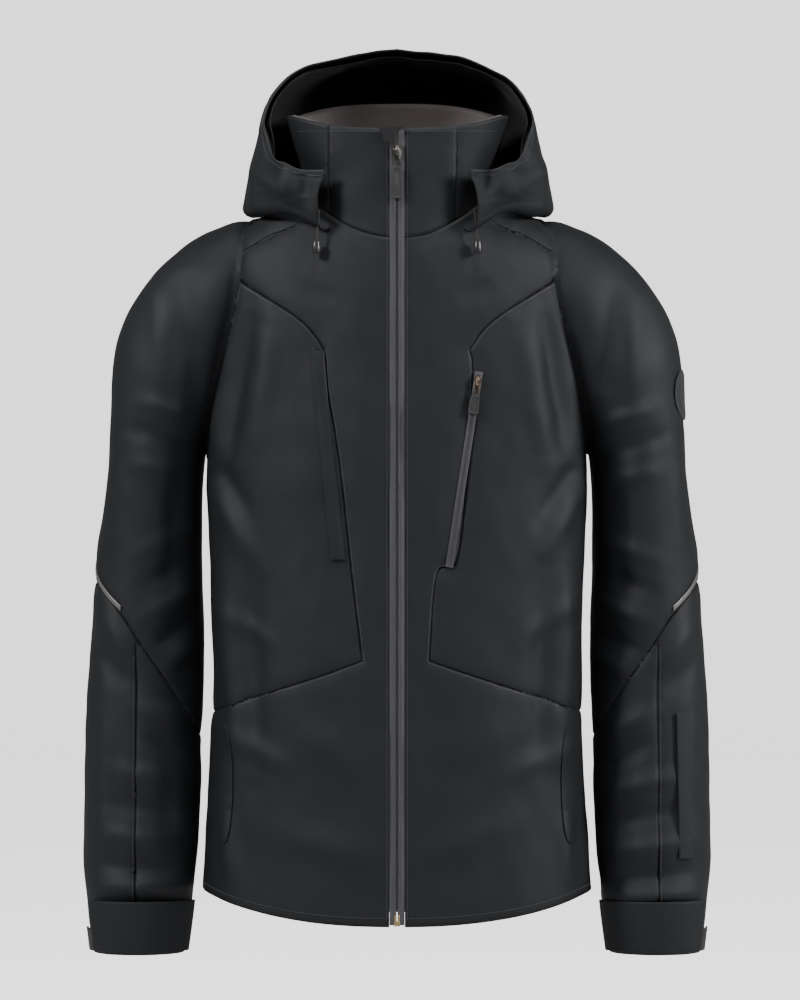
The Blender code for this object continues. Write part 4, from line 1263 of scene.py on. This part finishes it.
def plate(outline, front, back, bevel, hole=None):
    """A flat piece drawn in the front view, with rounded edges and maybe a hole."""
    bm = bmesh.new()
    loops = [outline] + ([hole] if hole else [])
    edges = []
    for loop in loops:
        verts = [bm.verts.new((x, front, z)) for x, z in loop]
        edges += [bm.edges.new(pair) for pair in zip(verts, verts[1:] + verts[:1])]
    if hole:
        made = bmesh.ops.bridge_loops(bm, edges=edges)["faces"]
    else:
        made = [bm.faces.new(bm.verts[:])]
    out = bmesh.ops.extrude_face_region(bm, geom=made)["geom"]
    verts = [item for item in out if isinstance(item, bmesh.types.BMVert)]
    bmesh.ops.translate(bm, verts=verts, vec=(0, back - front, 0))
    bmesh.ops.recalc_face_normals(bm, faces=bm.faces)
    sharp = [edge for edge in bm.edges if len(edge.link_faces) == 2 and edge.calc_face_angle(0) > 1.0]
    bmesh.ops.bevel(bm, geom=sharp, offset=bevel, segments=2, profile=0.6, affect="EDGES", material=-1)
    return bm


def rounded_outline(corners, radius, count=5):
    """A closed outline with its corners rounded."""
    found = []
    for index, corner in enumerate(corners):
        here = Vector(corner)
        to_last = (Vector(corners[index - 1]) - here).normalized() * radius
        to_next = (Vector(corners[(index + 1) % len(corners)]) - here).normalized() * radius
        for step in range(count + 1):
            t = step / count
            spot = here + to_last * (1 - t) ** 2 + to_next * t**2
            found.append((spot.x, spot.y))
    return found


def placed(bm, matrix):
    bmesh.ops.transform(bm, matrix=TO_ORIGIN @ matrix, verts=bm.verts)
    return bm


def slider_shape(width, length, half_gap, plate_wall=0.0015):
    """A zip slider: a shield-shaped front plate, a back plate, a wedge between them and a bridge."""
    w, h = width / 2, length / 2
    shield = [(-w * 0.82, h), (w * 0.82, h), (w, h * 0.45), (w * 0.74, -h), (-w * 0.74, -h), (-w, h * 0.45)]
    outline = rounded_outline(shield, width * 0.14)
    bm = plate(outline, -half_gap - plate_wall, -half_gap, 0.0003)
    merge_into(bm, plate(outline, half_gap, half_gap + plate_wall, 0.0003))
    wedge = rounded_box((0.0009, 2 * half_gap + plate_wall, 0.0034), 0.0002, 2, at(0, 0, h - 0.0025))
    merge_into(bm, wedge)
    spine = []
    for step in range(13):
        angle = math.pi * step / 12
        rise = 0.0004 - 0.0034 * math.sin(angle) ** 0.7
        spine.append((-half_gap - plate_wall + rise, -math.cos(angle) * length * 0.32))
    rings = []
    for index, (y, z) in enumerate(spine):
        y0, z0 = spine[max(0, index - 1)]
        y1, z1 = spine[min(len(spine) - 1, index + 1)]
        along = Vector((0, y1 - y0, z1 - z0)).normalized()
        out = Vector((1, 0, 0)).cross(along)
        rings.append([Vector((0.0015 * math.cos(a), y, z)) + out * (0.0006 * math.sin(a))
                      for a in np.linspace(0, 2 * math.pi, 10, endpoint=False)])
    return merge_into(bm, lofted(rings))


def link_shape(width, length, y, wire=0.0014):
    """The metal ring between slider and pull."""
    half, top, low = width / 2, 0.002, 0.002 - length
    outer, hole = ([(-half + w, top - w), (half - w, top - w), (half - w, low + w), (-half + w, low + w)]
                   for w in (0.0, wire))
    return plate(rounded_outline(outer, 0.0018), y - wire / 2, y + wire / 2, 0.00035,
                 rounded_outline(hole, 0.0010))


def tab_shape(width, top_width, length, top, y, half_wall=0.0014):
    """The rubber pull: a long tab with a raised border, a notch at its upper end and grip ribs."""
    low = top - length
    corners = [(-top_width / 2, top), (top_width / 2, top), (width / 2, top - length * 0.45),
               (width / 2, low), (-width / 2, low), (-width / 2, top - length * 0.45)]
    bm = plate(rounded_outline(corners, 0.0016), y - half_wall * 0.65, y + half_wall, 0.0004)
    outer, hole = ([(x * factor, z - edge if z > (top + low) / 2 else z + edge) for x, z in corners]
                   for factor, edge in ((0.93, 0.0006), (0.66, 0.0024)))
    merge_into(bm, plate(rounded_outline(outer, 0.0015), y - half_wall, y - half_wall * 0.5, 0.0002,
                         rounded_outline(hole, 0.0010)))
    merge_into(bm, rounded_box((top_width * 0.34, half_wall * 0.5, 0.0022), 0.0004, 2,
                               at(0, y - half_wall * 0.82, top - 0.0042)))
    for index in range(4):
        place = at(0, y - half_wall * 0.70, low + 0.0060 + index * 0.0026)
        merge_into(bm, rounded_box((width * 0.5, 0.0006, 0.0009), 0.0002, 2, place))
    return bm


def make_tape(name, sign):
    """Woven tape beside the teeth, with a raised cord edge."""
    bm = bmesh.new()
    profile = [(0.0005, -0.0003), (0.0014, -0.0006), (0.0026, -0.0006), (0.0030, -0.0002), (0.0075, 0.0000),
               (0.0075, 0.0008), (0.0005, 0.0008)]
    steps = round(ZIP_LENGTH / 0.006)
    layer = bm.loops.layers.uv.new("cloth")
    rings = []
    for index in range(steps + 1):
        z = ZIP_LENGTH * (index / steps - 0.5) * 0.995
        ripple = 0.00012 * math.sin(z * 190) + 0.00010 * math.sin(z * 77 + sign)
        rings.append([bm.verts.new((sign * x, y + ripple, z)) for x, y in profile])
    for ring, above in zip(rings, rings[1:]):
        for i in range(len(profile)):
            j = (i + 1) % len(profile)
            face = bm.faces.new((ring[i], ring[j], above[j], above[i]))
            for loop in face.loops:
                loop[layer].uv = (loop.vert.co.x, loop.vert.co.z)
    bm.faces.new(rings[0])
    bm.faces.new(rings[-1][::-1])
    bmesh.ops.recalc_face_normals(bm, faces=bm.faces)
    hardware(name, placed(bm, ZIP_MIDDLE), "tape", slot="zip_tape")


def make_teeth(name, sign):
    """A moulded coil: one rounded loop per tooth, the two rows set half a pitch apart."""
    bm = bmesh.new()
    run = ZIP_LENGTH - 0.026
    count = int(run / TOOTH_PITCH)
    for index in range(count):
        z = -run / 2 + 0.008 + TOOTH_PITCH * (index + (0.5 if sign > 0 else 0.0))
        made = bmesh.ops.create_cube(bm, size=1.0)["verts"]
        bmesh.ops.scale(bm, vec=(0.0025, 0.0022, TOOTH_PITCH * 0.62), verts=made)
        for vertex in made:
            if vertex.co.y < 0:
                vertex.co.z *= 0.55
                vertex.co.x *= 0.82
        bmesh.ops.translate(bm, verts=made, vec=(sign * 0.00150, -0.0004, z))
    hardware(name, placed(bm, ZIP_MIDDLE), "coil", slot="zip_coil")


def make_front_zip():
    for side, sign in SIDES:
        make_tape(f"zip_tape_{side}", sign)
        make_teeth(f"zip_chain_{side}", sign)
    end = zip_frame(HEM_FRONT_Z + 0.0065)
    box = rounded_box((0.0026, 0.0042, 0.0115), 0.0005, 3, at(-0.0017, 0, 0))
    merge_into(box, rounded_box((0.0018, 0.0046, 0.0016), 0.0003, 2, at(-0.0017, 0, -0.0030)))
    merge_into(box, rounded_box((0.0062, 0.0040, 0.0050), 0.0008, 3, at(0, 0.0002, -0.0030)))
    hardware("zip_box", placed(box, end), "brass", slot="zip_box_metal")
    pin = rounded_box((0.0020, 0.0026, 0.0115), 0.0006, 3, at(0.0018, 0, 0))
    hardware("zip_pin", placed(pin, end), "brass", slot="zip_box_metal")
    top = zip_frame(SLIDER_Z)
    hardware("main_slider", placed(slider_shape(0.0120, 0.0150, 0.0018), top), "slider", "main_slider",
             slot="slider_metal")
    hinge = top @ at(0, 0, -0.0030)
    hardware("main_pull_link", placed(link_shape(0.0072, 0.0150, -0.00455), hinge), "slider", "main_pull",
             slot="slider_metal")
    tab = tab_shape(0.0120, 0.0080, 0.0330, 0.002 - 0.0150 + 0.0004, -0.00455)
    hardware("main_pull_tab", placed(tab, hinge), "rubber", "main_pull", slot="pull_rubber")
    make_garage()


def make_garage():
    """The triangle of dark webbing over the zip's upper end, stitched along its slanted edge."""
    corners = [(-0.0185, 0.0462), (0.0072, 0.0462), (-0.0085, 0.0305), (-0.0125, 0.0305)]
    y = zip_y(0.036)
    bm = plate(rounded_outline(corners, 0.0008), y - 0.0046, y - 0.0033, 0.0003)
    uv_from_front(bm)
    line = [(Vector((x, y - 0.0046, z)), Vector((0, -1, 0)))
            for x, z in ((0.0048, 0.0448), (-0.0085, 0.0322))]
    stitch_into(bm, line, 0.0022, 0.0016, 0.0005, 0.0003)
    add_piece("zip_garage", bm, "binding", slot="binding_tape", smooth_angle=40)


def uv_from_front(bm):
    layer = bm.loops.layers.uv.get("cloth") or bm.loops.layers.uv.new("cloth")
    for face in bm.faces:
        for loop in face.loops:
            loop[layer].uv = (loop.vert.co.x, loop.vert.co.z)


def make_wind_flap():
    """The strip of cloth behind the front zip."""
    bm = bmesh.new()
    bmesh.ops.create_grid(bm, x_segments=8, y_segments=100, size=0.5)
    for vertex in bm.verts:
        x, z = vertex.co.x * FLAP_SIZE[0], vertex.co.y * FLAP_SIZE[1] - 0.010
        vertex.co = Vector((x, 0.0072 + 0.0004 * math.sin(z * 60), z))
    uv_from_front(bm)
    bmesh.ops.recalc_face_normals(bm, faces=bm.faces)
    obj = add_piece("wind_flap", placed(bm, ZIP_MIDDLE), "shell", "root", "shell_fabric", 0.0006, move=False)


# ---------------------------------------------------------------- chest pockets and welts
CHEST_ZIP = ((0.0828, -0.2002), (0.0524, -0.3980))
CHEST_WELT = [(-0.0875, -0.180), (-0.0735, -0.180), (-0.0675, -0.253), (-0.0520, -0.390), (-0.0665, -0.390),
              (-0.0800, -0.253)]


def chest_frame():
    """Local axes of the chest zip on the body's surface, Z up along it and -Y out, and its length."""
    (x0, z0), (x1, z1) = CHEST_ZIP
    plain = BVHTree.FromBMesh(wrapped(body, (0.0, 0.25), BELOW_COLLAR, 0.012, BODY_GIRTH))
    top, foot = (Vector((x, plain.ray_cast(Vector((x, -0.5, z)), Vector((0, 1, 0)))[0].y, z))
                 for x, z in ((x0, z0), (x1, z1)))
    up = (top - foot).normalized()
    out = Vector((0, -1, 0))
    out = (out - up * out.dot(up)).normalized()
    axes = Matrix((up.cross(out), -out, up)).transposed().to_4x4()
    return Matrix.Translation(top) @ axes, (top - foot).length


def make_chest_zip():
    frame_of, run = chest_frame()
    bm = rounded_box((0.0080, 0.0009, run - 0.001), 0.0003, 2, at(0, 0.0005, -run / 2))
    uv_from_front(bm)
    for sign in (-1, 1):
        count = int((run - 0.006) / 0.0013)
        for index in range(count):
            made = bmesh.ops.create_cube(bm, size=1.0)["verts"]
            bmesh.ops.scale(bm, vec=(0.0016, 0.0012, 0.0008), verts=made)
            spot = (sign * 0.0009, -0.0002, -0.003 - 0.0013 * (index + (0.5 if sign > 0 else 0)))
            bmesh.ops.translate(bm, verts=made, vec=spot)
    hardware("pocket_zip_tape", placed(bm, frame_of), "tape", slot="zip_tape")
    place = frame_of @ at(0, 0.0005, -0.0110)
    hardware("pocket_slider", placed(slider_shape(0.0070, 0.0132, 0.0010), place), "bronze", "pocket_slider",
             slot="bronze_slider")
    hinge = place @ at(0, 0, -0.0020)
    hardware("pocket_pull_link", placed(link_shape(0.0066, 0.0140, -0.0037), hinge), "bronze", "pocket_pull",
             slot="bronze_slider")
    tab = tab_shape(0.0105, 0.0080, 0.0200, 0.002 - 0.0140 + 0.0004, -0.0037)
    hardware("pocket_pull_tab", placed(tab, hinge), "rubber", "pocket_pull", slot="pull_rubber")


def flap_on(tree, name, outline, wall, lift, step=0.0022):
    """A sewn flap: a fine grid of the front view, dropped on the cloth below it."""
    xs, zs = [p[0] for p in outline], [p[1] for p in outline]
    bm = bmesh.new()
    nx, nz = max(3, round((max(xs) - min(xs)) / step)), max(3, round((max(zs) - min(zs)) / step))
    bmesh.ops.create_grid(bm, x_segments=nx, y_segments=nz, size=0.5)
    for vertex in bm.verts:
        x = min(xs) + (vertex.co.x + 0.5) * (max(xs) - min(xs))
        z = min(zs) + (vertex.co.y + 0.5) * (max(zs) - min(zs))
        vertex.co = Vector((x, 0, z))
    for (x0, z0), (x1, z1) in zip(outline, outline[1:] + outline[:1]):
        bmesh.ops.bisect_plane(bm, geom=bm.verts[:] + bm.edges[:] + bm.faces[:], plane_co=(x0, 0, z0),
                               plane_no=(z1 - z0, 0, x0 - x1), dist=CUT_SNAP)
    gone = [face for face in bm.faces
            if not encloses(outline, face.calc_center_median().x, face.calc_center_median().z)]
    bmesh.ops.delete(bm, geom=gone, context="FACES")
    gaps, _ = line_distance(flat_of(bm)[0], outline + outline[:1])
    for vertex, gap in zip(bm.verts, gaps):
        hit = tree.ray_cast(Vector((vertex.co.x, -1, vertex.co.z)), Vector((0, 1, 0)))
        puff = 0.0006 * (1 - math.exp(-((gap / 0.004) ** 2)))
        vertex.co.y = PATTERN_Y if hit[0] is None else hit[0].y - lift - puff
    uv_from_front(bm)
    bm.normal_update()
    if sum(face.normal.y for face in bm.faces) > 0:
        bmesh.ops.reverse_faces(bm, faces=bm.faces)
    soften(add_piece(name, bm, "shell", "root", "shell_fabric", wall, move=False), wall * 0.35)


def lens_outline(sign):
    """The pointed oval of a hand pocket's welt."""
    found = []
    for index in range(24):
        angle = 2 * math.pi * index / 24
        found.append((sign * (0.1755 + 0.009 * math.sin(angle)), -0.617 + 0.060 * math.cos(angle)))
    return found


def stitch_rows(name, tree, lines, body_name="root"):
    """Rows of stitches laid on the cloth along front-view lines."""
    bm = bmesh.new()
    for line in lines:
        points = landed(tree, line)
        if len(points) > 2:
            stitch_into(bm, points, fabric().thread_pitch)
    return add_thread(name, bm, body_name)


# ---------------------------------------------------------------- cords, badge and small pieces
CORD_ROUTE = [(0.0790, -0.0985, -0.0365), (0.0795, -0.1000, -0.0500), (0.0805, -0.1030, -0.0600),
              (0.0814, -0.1040, -0.0690)]
CORD_RADIUS = 0.00125
CORD_END = [(0.0018, 0.0), (0.0034, -0.0002), (0.0038, -0.0010), (0.0036, -0.0022), (0.0040, -0.0030),
            (0.0043, -0.0070), (0.0045, -0.0105), (0.0042, -0.0120), (0.0030, -0.0124)]  # radius, height
LOOP_RADIUS = 0.0016
BADGE_CENTRE = Vector((0.0, -0.012, -0.222))
BADGE_RADIUS = 0.026


def tube_curve(name, points, radius, body_name):
    """A round cord on a smooth line; returns the object and the line's length."""
    curve = bpy.data.curves.new(name, "CURVE")
    curve.dimensions = "3D"
    curve.bevel_depth = radius
    curve.bevel_resolution = 3
    curve.use_fill_caps = True
    spline = curve.splines.new("POLY")
    spline.points.add(len(points) - 1)
    for spot, point in zip(spline.points, points):
        spot.co = (*point, 1.0)
    curve.materials.append(finish_of("cord"))
    obj = bpy.data.objects.new(f"{name}_look", curve)
    bpy.context.scene.collection.objects.link(obj)
    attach(obj, body_name)
    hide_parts(name)
    return obj, sum((Vector(b) - Vector(a)).length for a, b in zip(points, points[1:]))


def turned(profile, place):
    """A closed solid of revolution about Z from (radius, height) pairs."""
    angles = np.linspace(0, 2 * math.pi, 20, endpoint=False)
    return lofted([[place @ Vector((radius * math.cos(a), radius * math.sin(a), z)) for a in angles]
                   for radius, z in profile])


def make_cords():
    """The two drawcord ends that hang from the hood, each with a moulded end."""
    for side, sign in SIDES:
        points = []
        for index in range(25):
            x, y, z = smooth_rows(CORD_ROUTE, index / 24 * (len(CORD_ROUTE) - 1))
            points.append((sign * x, y + PATTERN_Y, z))
        cord, length = tube_curve(f"hood_cord_{side}", points, CORD_RADIUS, "hood")
        x, y, z = points[-1]
        end = hardware(f"cord_end_{side}", turned(CORD_END, at(x, y, z)), "plastic", "hood",
                       slot="cord_end_plastic", smooth=50)


def make_hanger_loop():
    """The loop of cord that the jacket hangs by, at the back of the neck."""
    points = []
    for index in range(33):
        angle = math.pi * index / 32
        y = 0.054 - 0.012 * math.sin(angle)
        points.append((0.032 * math.cos(angle), y + PATTERN_Y, 0.012 * math.sin(angle) - 0.012))
    loop, length = tube_curve("hanger_loop", points, LOOP_RADIUS, "root")


def make_badge():
    """A plain round badge with two raised rings."""
    bm = on_sleeve((0.05, 0.35), (2.9, 5.3), 0.0022, 0.0016)
    for index in range(40):
        angle = 2 * math.pi * index / 40
        out = Vector((0, math.cos(angle), math.sin(angle)))
        bmesh.ops.bisect_plane(bm, geom=bm.verts[:] + bm.edges[:] + bm.faces[:], plane_no=out,
                               plane_co=BADGE_CENTRE + out * BADGE_RADIUS, clear_outer=True, dist=CUT_SNAP)
    bm.normal_update()
    for vertex in bm.verts:
        gap = math.hypot(vertex.co.y - BADGE_CENTRE.y, vertex.co.z - BADGE_CENTRE.z)
        ring = math.exp(-(((gap - 0.0235) / 0.0012) ** 2)) + 0.7 * math.exp(-(((gap - 0.0150) / 0.0014) ** 2))
        vertex.co += vertex.normal * 0.0007 * ring
    soften(add_piece("sleeve_badge", bm, "badge", "root", "badge_rubber", 0.0011), 0.0004)


def make_sleeve_pocket():
    welt = on_sleeve((0.064, 0.106), (7.46, 9.07), 0.0030, 0.002)
    soften(add_piece("sleeve_pocket_welt", welt, "shell", "forearm_left", "shell_fabric", 0.0016), 0.0006)


FRONT_PANELS = ("side_front_left", "side_front_right", "centre_front_left", "centre_front_right")


def make_welts():
    """The flaps over the right chest zip and the hand pockets, and the bag behind the left chest zip."""
    tree = surface_tree(FRONT_PANELS)
    flap_on(tree, "chest_welt_right", CHEST_WELT, 0.0016, 0.0024)
    for side, sign in SIDES:
        flap_on(tree, f"hand_pocket_welt_{side}", lens_outline(sign), 0.0014, 0.0020, 0.0016)
    bag = wrapped(body, (0.045, 0.125), (7.5, 10.2), 0.006, BODY_GIRTH, guide_turn=0.08)
    turn_outwards(bag, body_axis)
    offset_inwards(bag, 0.0072)
    inner("chest_pocket_bag", bag, "dark_nylon", wall=0.0010)


# Bartacks at the ends of the pocket flaps and of the front zip: middle (x, z) and half length (x, z)
BARTACKS = [(-0.0800, -0.1815, 0.0065, 0.0), (-0.0590, -0.3905, 0.0065, 0.0),
            (-0.0140, -0.7450, 0.0, 0.005), (0.0140, -0.7450, 0.0, 0.005),
            (0.1755, -0.5550, 0.005, 0.0), (-0.1755, -0.5550, 0.005, 0.0),
            (0.1755, -0.6790, 0.005, 0.0), (-0.1755, -0.6790, 0.005, 0.0)]
STITCH_GAP = 0.0022  # from a seam to the stitches beside it
ZIP_STITCH_X = 0.0102
HEM_STITCH_ROW = 13.80  # row of the body at which the hem is stitched


def hem_line(row, reach):
    return [(p.x, p.z) for p in (body(turn, row) for turn in np.linspace(-reach, reach, 80))]


def make_stitching():
    """Visible topstitching: beside the zip, the yokes, the pockets, the hem, the collar and the elbows."""
    tree = surface_tree([*FRONT_PANELS, "shoulder_yoke_left", "shoulder_yoke_right", "collar_front_left",
                         "collar_front_right", "collar_back"])
    lines = []
    for sign, pocket in ((1, LEFT_POCKET_SEAM), (-1, RIGHT_POCKET_SEAM)):
        drawn = [[(ZIP_STITCH_X, 0.040), (ZIP_STITCH_X, -0.020)],
                 [(ZIP_STITCH_X, -0.030), (ZIP_STITCH_X, -0.750)],
                 shifted(curve_through(YOKE_SEAM), STITCH_GAP),
                 shifted(curve_through(pocket), -STITCH_GAP),
                 shifted(curve_through(belly_seam(pocket))[:16], -STITCH_GAP),
                 shifted(curve_through(RAGLAN_SEAM)[8:26], -STITCH_GAP)]
        lines += [on_side(sign, line) for line in drawn]
    lines.append(hem_line(HEM_STITCH_ROW, 0.235))
    for x in COLLAR_SEAMS.values():
        lines += [[(x + gap, 0.046), (x + gap, -0.016)] for gap in (-0.0026, 0.0026)]
    for ends in ((-0.100, -0.011), (0.011, 0.100)):
        lines.append([(x, 0.0415 + 0.30 * x * x) for x in np.linspace(*ends, 30)])
    lines.append([(-0.0842, -0.178), (-0.0700, -0.253), (-0.0532, -0.387)])
    stitch_rows("body_stitching", tree, lines)
    for side, sign in SIDES:
        arms = surface_tree([f"{name}_{side}" for name in ("forearm_inner", "forearm_outer", "cuff")])
        rows = [[(FOREARM_SEAM_X + 0.0024, -0.490), (FOREARM_SEAM_X + 0.0024, -0.745)],
                shifted(curve_through(ELBOW_SEAM), -0.0030)[9:20]]
        rows = [on_side(sign, row) for row in rows]
        flex(stitch_rows(f"forearm_stitching_{side}", arms, rows, None))


def make_bartacks():
    tree = surface_tree([*FRONT_PANELS, "chest_welt_right"])
    bm = bmesh.new()
    for spot in BARTACKS:
        bartack_into(bm, tree, *spot)
    add_thread("bartacks", bm)


# ---------------------------------------------------------------- the add-on
class JacketFabric(bpy.types.PropertyGroup):
    grid_step: bpy.props.FloatProperty(
        name="Grid step", description="Size of the cloth's squares", default=0.0042, min=0.002, max=0.02,
        subtype="DISTANCE", unit="LENGTH")
    fold_strength: bpy.props.FloatProperty(
        name="Fold strength", description="How high the folds and dents of the cloth rise",
        default=1.5, min=0.0, max=3.0, subtype="FACTOR")
    filling: bpy.props.FloatProperty(
        name="Filling", description="How full the wadding is",
        default=0.3, min=0.0, max=1.0, subtype="FACTOR")
    thread_pitch: bpy.props.FloatProperty(
        name="Stitch pitch", description="Distance from one stitch to the next",
        default=0.0030, min=0.001, max=0.01, subtype="DISTANCE", unit="LENGTH")


class JacketStage(bpy.types.PropertyGroup):
    lens: bpy.props.FloatProperty(
        name="Lens", description="Focal length of the camera in millimetres",
        default=174.76, min=20.0, max=400.0)
    backdrop_glow: bpy.props.FloatProperty(
        name="Backdrop glow", description="Light that the pale backdrop gives by itself",
        default=1.7, min=0.0, max=4.0)
    ambient: bpy.props.FloatProperty(
        name="Ambient", description="Strength of the even light from all around",
        default=0.05, min=0.0, max=3.0)


class JACKET_OT_stage(bpy.types.Operator):
    """Make the floor, the lamps and the camera"""

    bl_idname = "jacket.stage"
    bl_label = "Stage"

    def execute(self, context):
        make_stage()
        return {"FINISHED"}


class JACKET_OT_cords(bpy.types.Operator):
    """Make the hood's drawcords and the hanger loop"""

    bl_idname = "jacket.cords"
    bl_label = "Cords"

    def execute(self, context):
        make_cords()
        make_hanger_loop()
        return {"FINISHED"}


class JACKET_OT_body(bpy.types.Operator):
    """Make the sewn panels of the body and its lining"""

    bl_idname = "jacket.body"
    bl_label = "Body"

    def execute(self, context):
        make_body()
        return {"FINISHED"}


class JACKET_OT_collar(bpy.types.Operator):
    """Make the collar and its lining"""

    bl_idname = "jacket.collar"
    bl_label = "Collar"

    def execute(self, context):
        make_collar()
        return {"FINISHED"}


class JACKET_OT_sleeves(bpy.types.Operator):
    """Make the sleeves, cuffs, tabs, stripes, the badge and the sleeve pocket"""

    bl_idname = "jacket.sleeves"
    bl_label = "Sleeves"

    def execute(self, context):
        make_sleeves()
        make_badge()
        make_sleeve_pocket()
        return {"FINISHED"}


class JACKET_OT_hood(bpy.types.Operator):
    """Make the hood and its lining"""

    bl_idname = "jacket.hood"
    bl_label = "Hood"

    def execute(self, context):
        make_hood()
        return {"FINISHED"}


class JACKET_OT_front_zip(bpy.types.Operator):
    """Make the front zip with its slider, pull, garage and wind flap"""

    bl_idname = "jacket.front_zip"
    bl_label = "Front zip"

    def execute(self, context):
        make_front_zip()
        make_wind_flap()
        return {"FINISHED"}


class JACKET_OT_pockets(bpy.types.Operator):
    """Make the chest zip, the pocket flaps and the pocket bag"""

    bl_idname = "jacket.pockets"
    bl_label = "Pockets"

    def execute(self, context):
        make_chest_zip()
        make_welts()
        return {"FINISHED"}


class JACKET_OT_stitching(bpy.types.Operator):
    """Lay the visible stitches and bartacks"""

    bl_idname = "jacket.stitching"
    bl_label = "Stitching"

    def execute(self, context):
        make_stitching()
        make_bartacks()
        return {"FINISHED"}


OPERATORS = (JACKET_OT_stage, JACKET_OT_cords, JACKET_OT_body, JACKET_OT_collar, JACKET_OT_sleeves,
             JACKET_OT_hood, JACKET_OT_front_zip, JACKET_OT_pockets, JACKET_OT_stitching)


class JACKET_PT_panel(bpy.types.Panel):
    """Settings and steps of the jacket"""

    bl_label = "Ski jacket"
    bl_idname = "JACKET_PT_panel"
    bl_space_type = "VIEW_3D"
    bl_region_type = "UI"
    bl_category = "Jacket"

    def draw(self, context):
        for group in (context.scene.jacket_fabric, context.scene.jacket_stage):
            for name in group.__annotations__:
                self.layout.prop(group, name)
        for operator in OPERATORS:
            self.layout.operator(operator.bl_idname)


CLASSES = (JacketFabric, JacketStage, *OPERATORS, JACKET_PT_panel)


def register():
    for cls in CLASSES:
        bpy.utils.register_class(cls)
    bpy.types.Scene.jacket_fabric = bpy.props.PointerProperty(type=JacketFabric)
    bpy.types.Scene.jacket_stage = bpy.props.PointerProperty(type=JacketStage)


def unregister():
    del bpy.types.Scene.jacket_stage
    del bpy.types.Scene.jacket_fabric
    for cls in reversed(CLASSES):
        bpy.utils.unregister_class(cls)


def main():
    register()
    for operator in OPERATORS:
        group, name = operator.bl_idname.split(".")
        getattr(getattr(bpy.ops, group), name)()


if __name__ == "__main__":
    main()
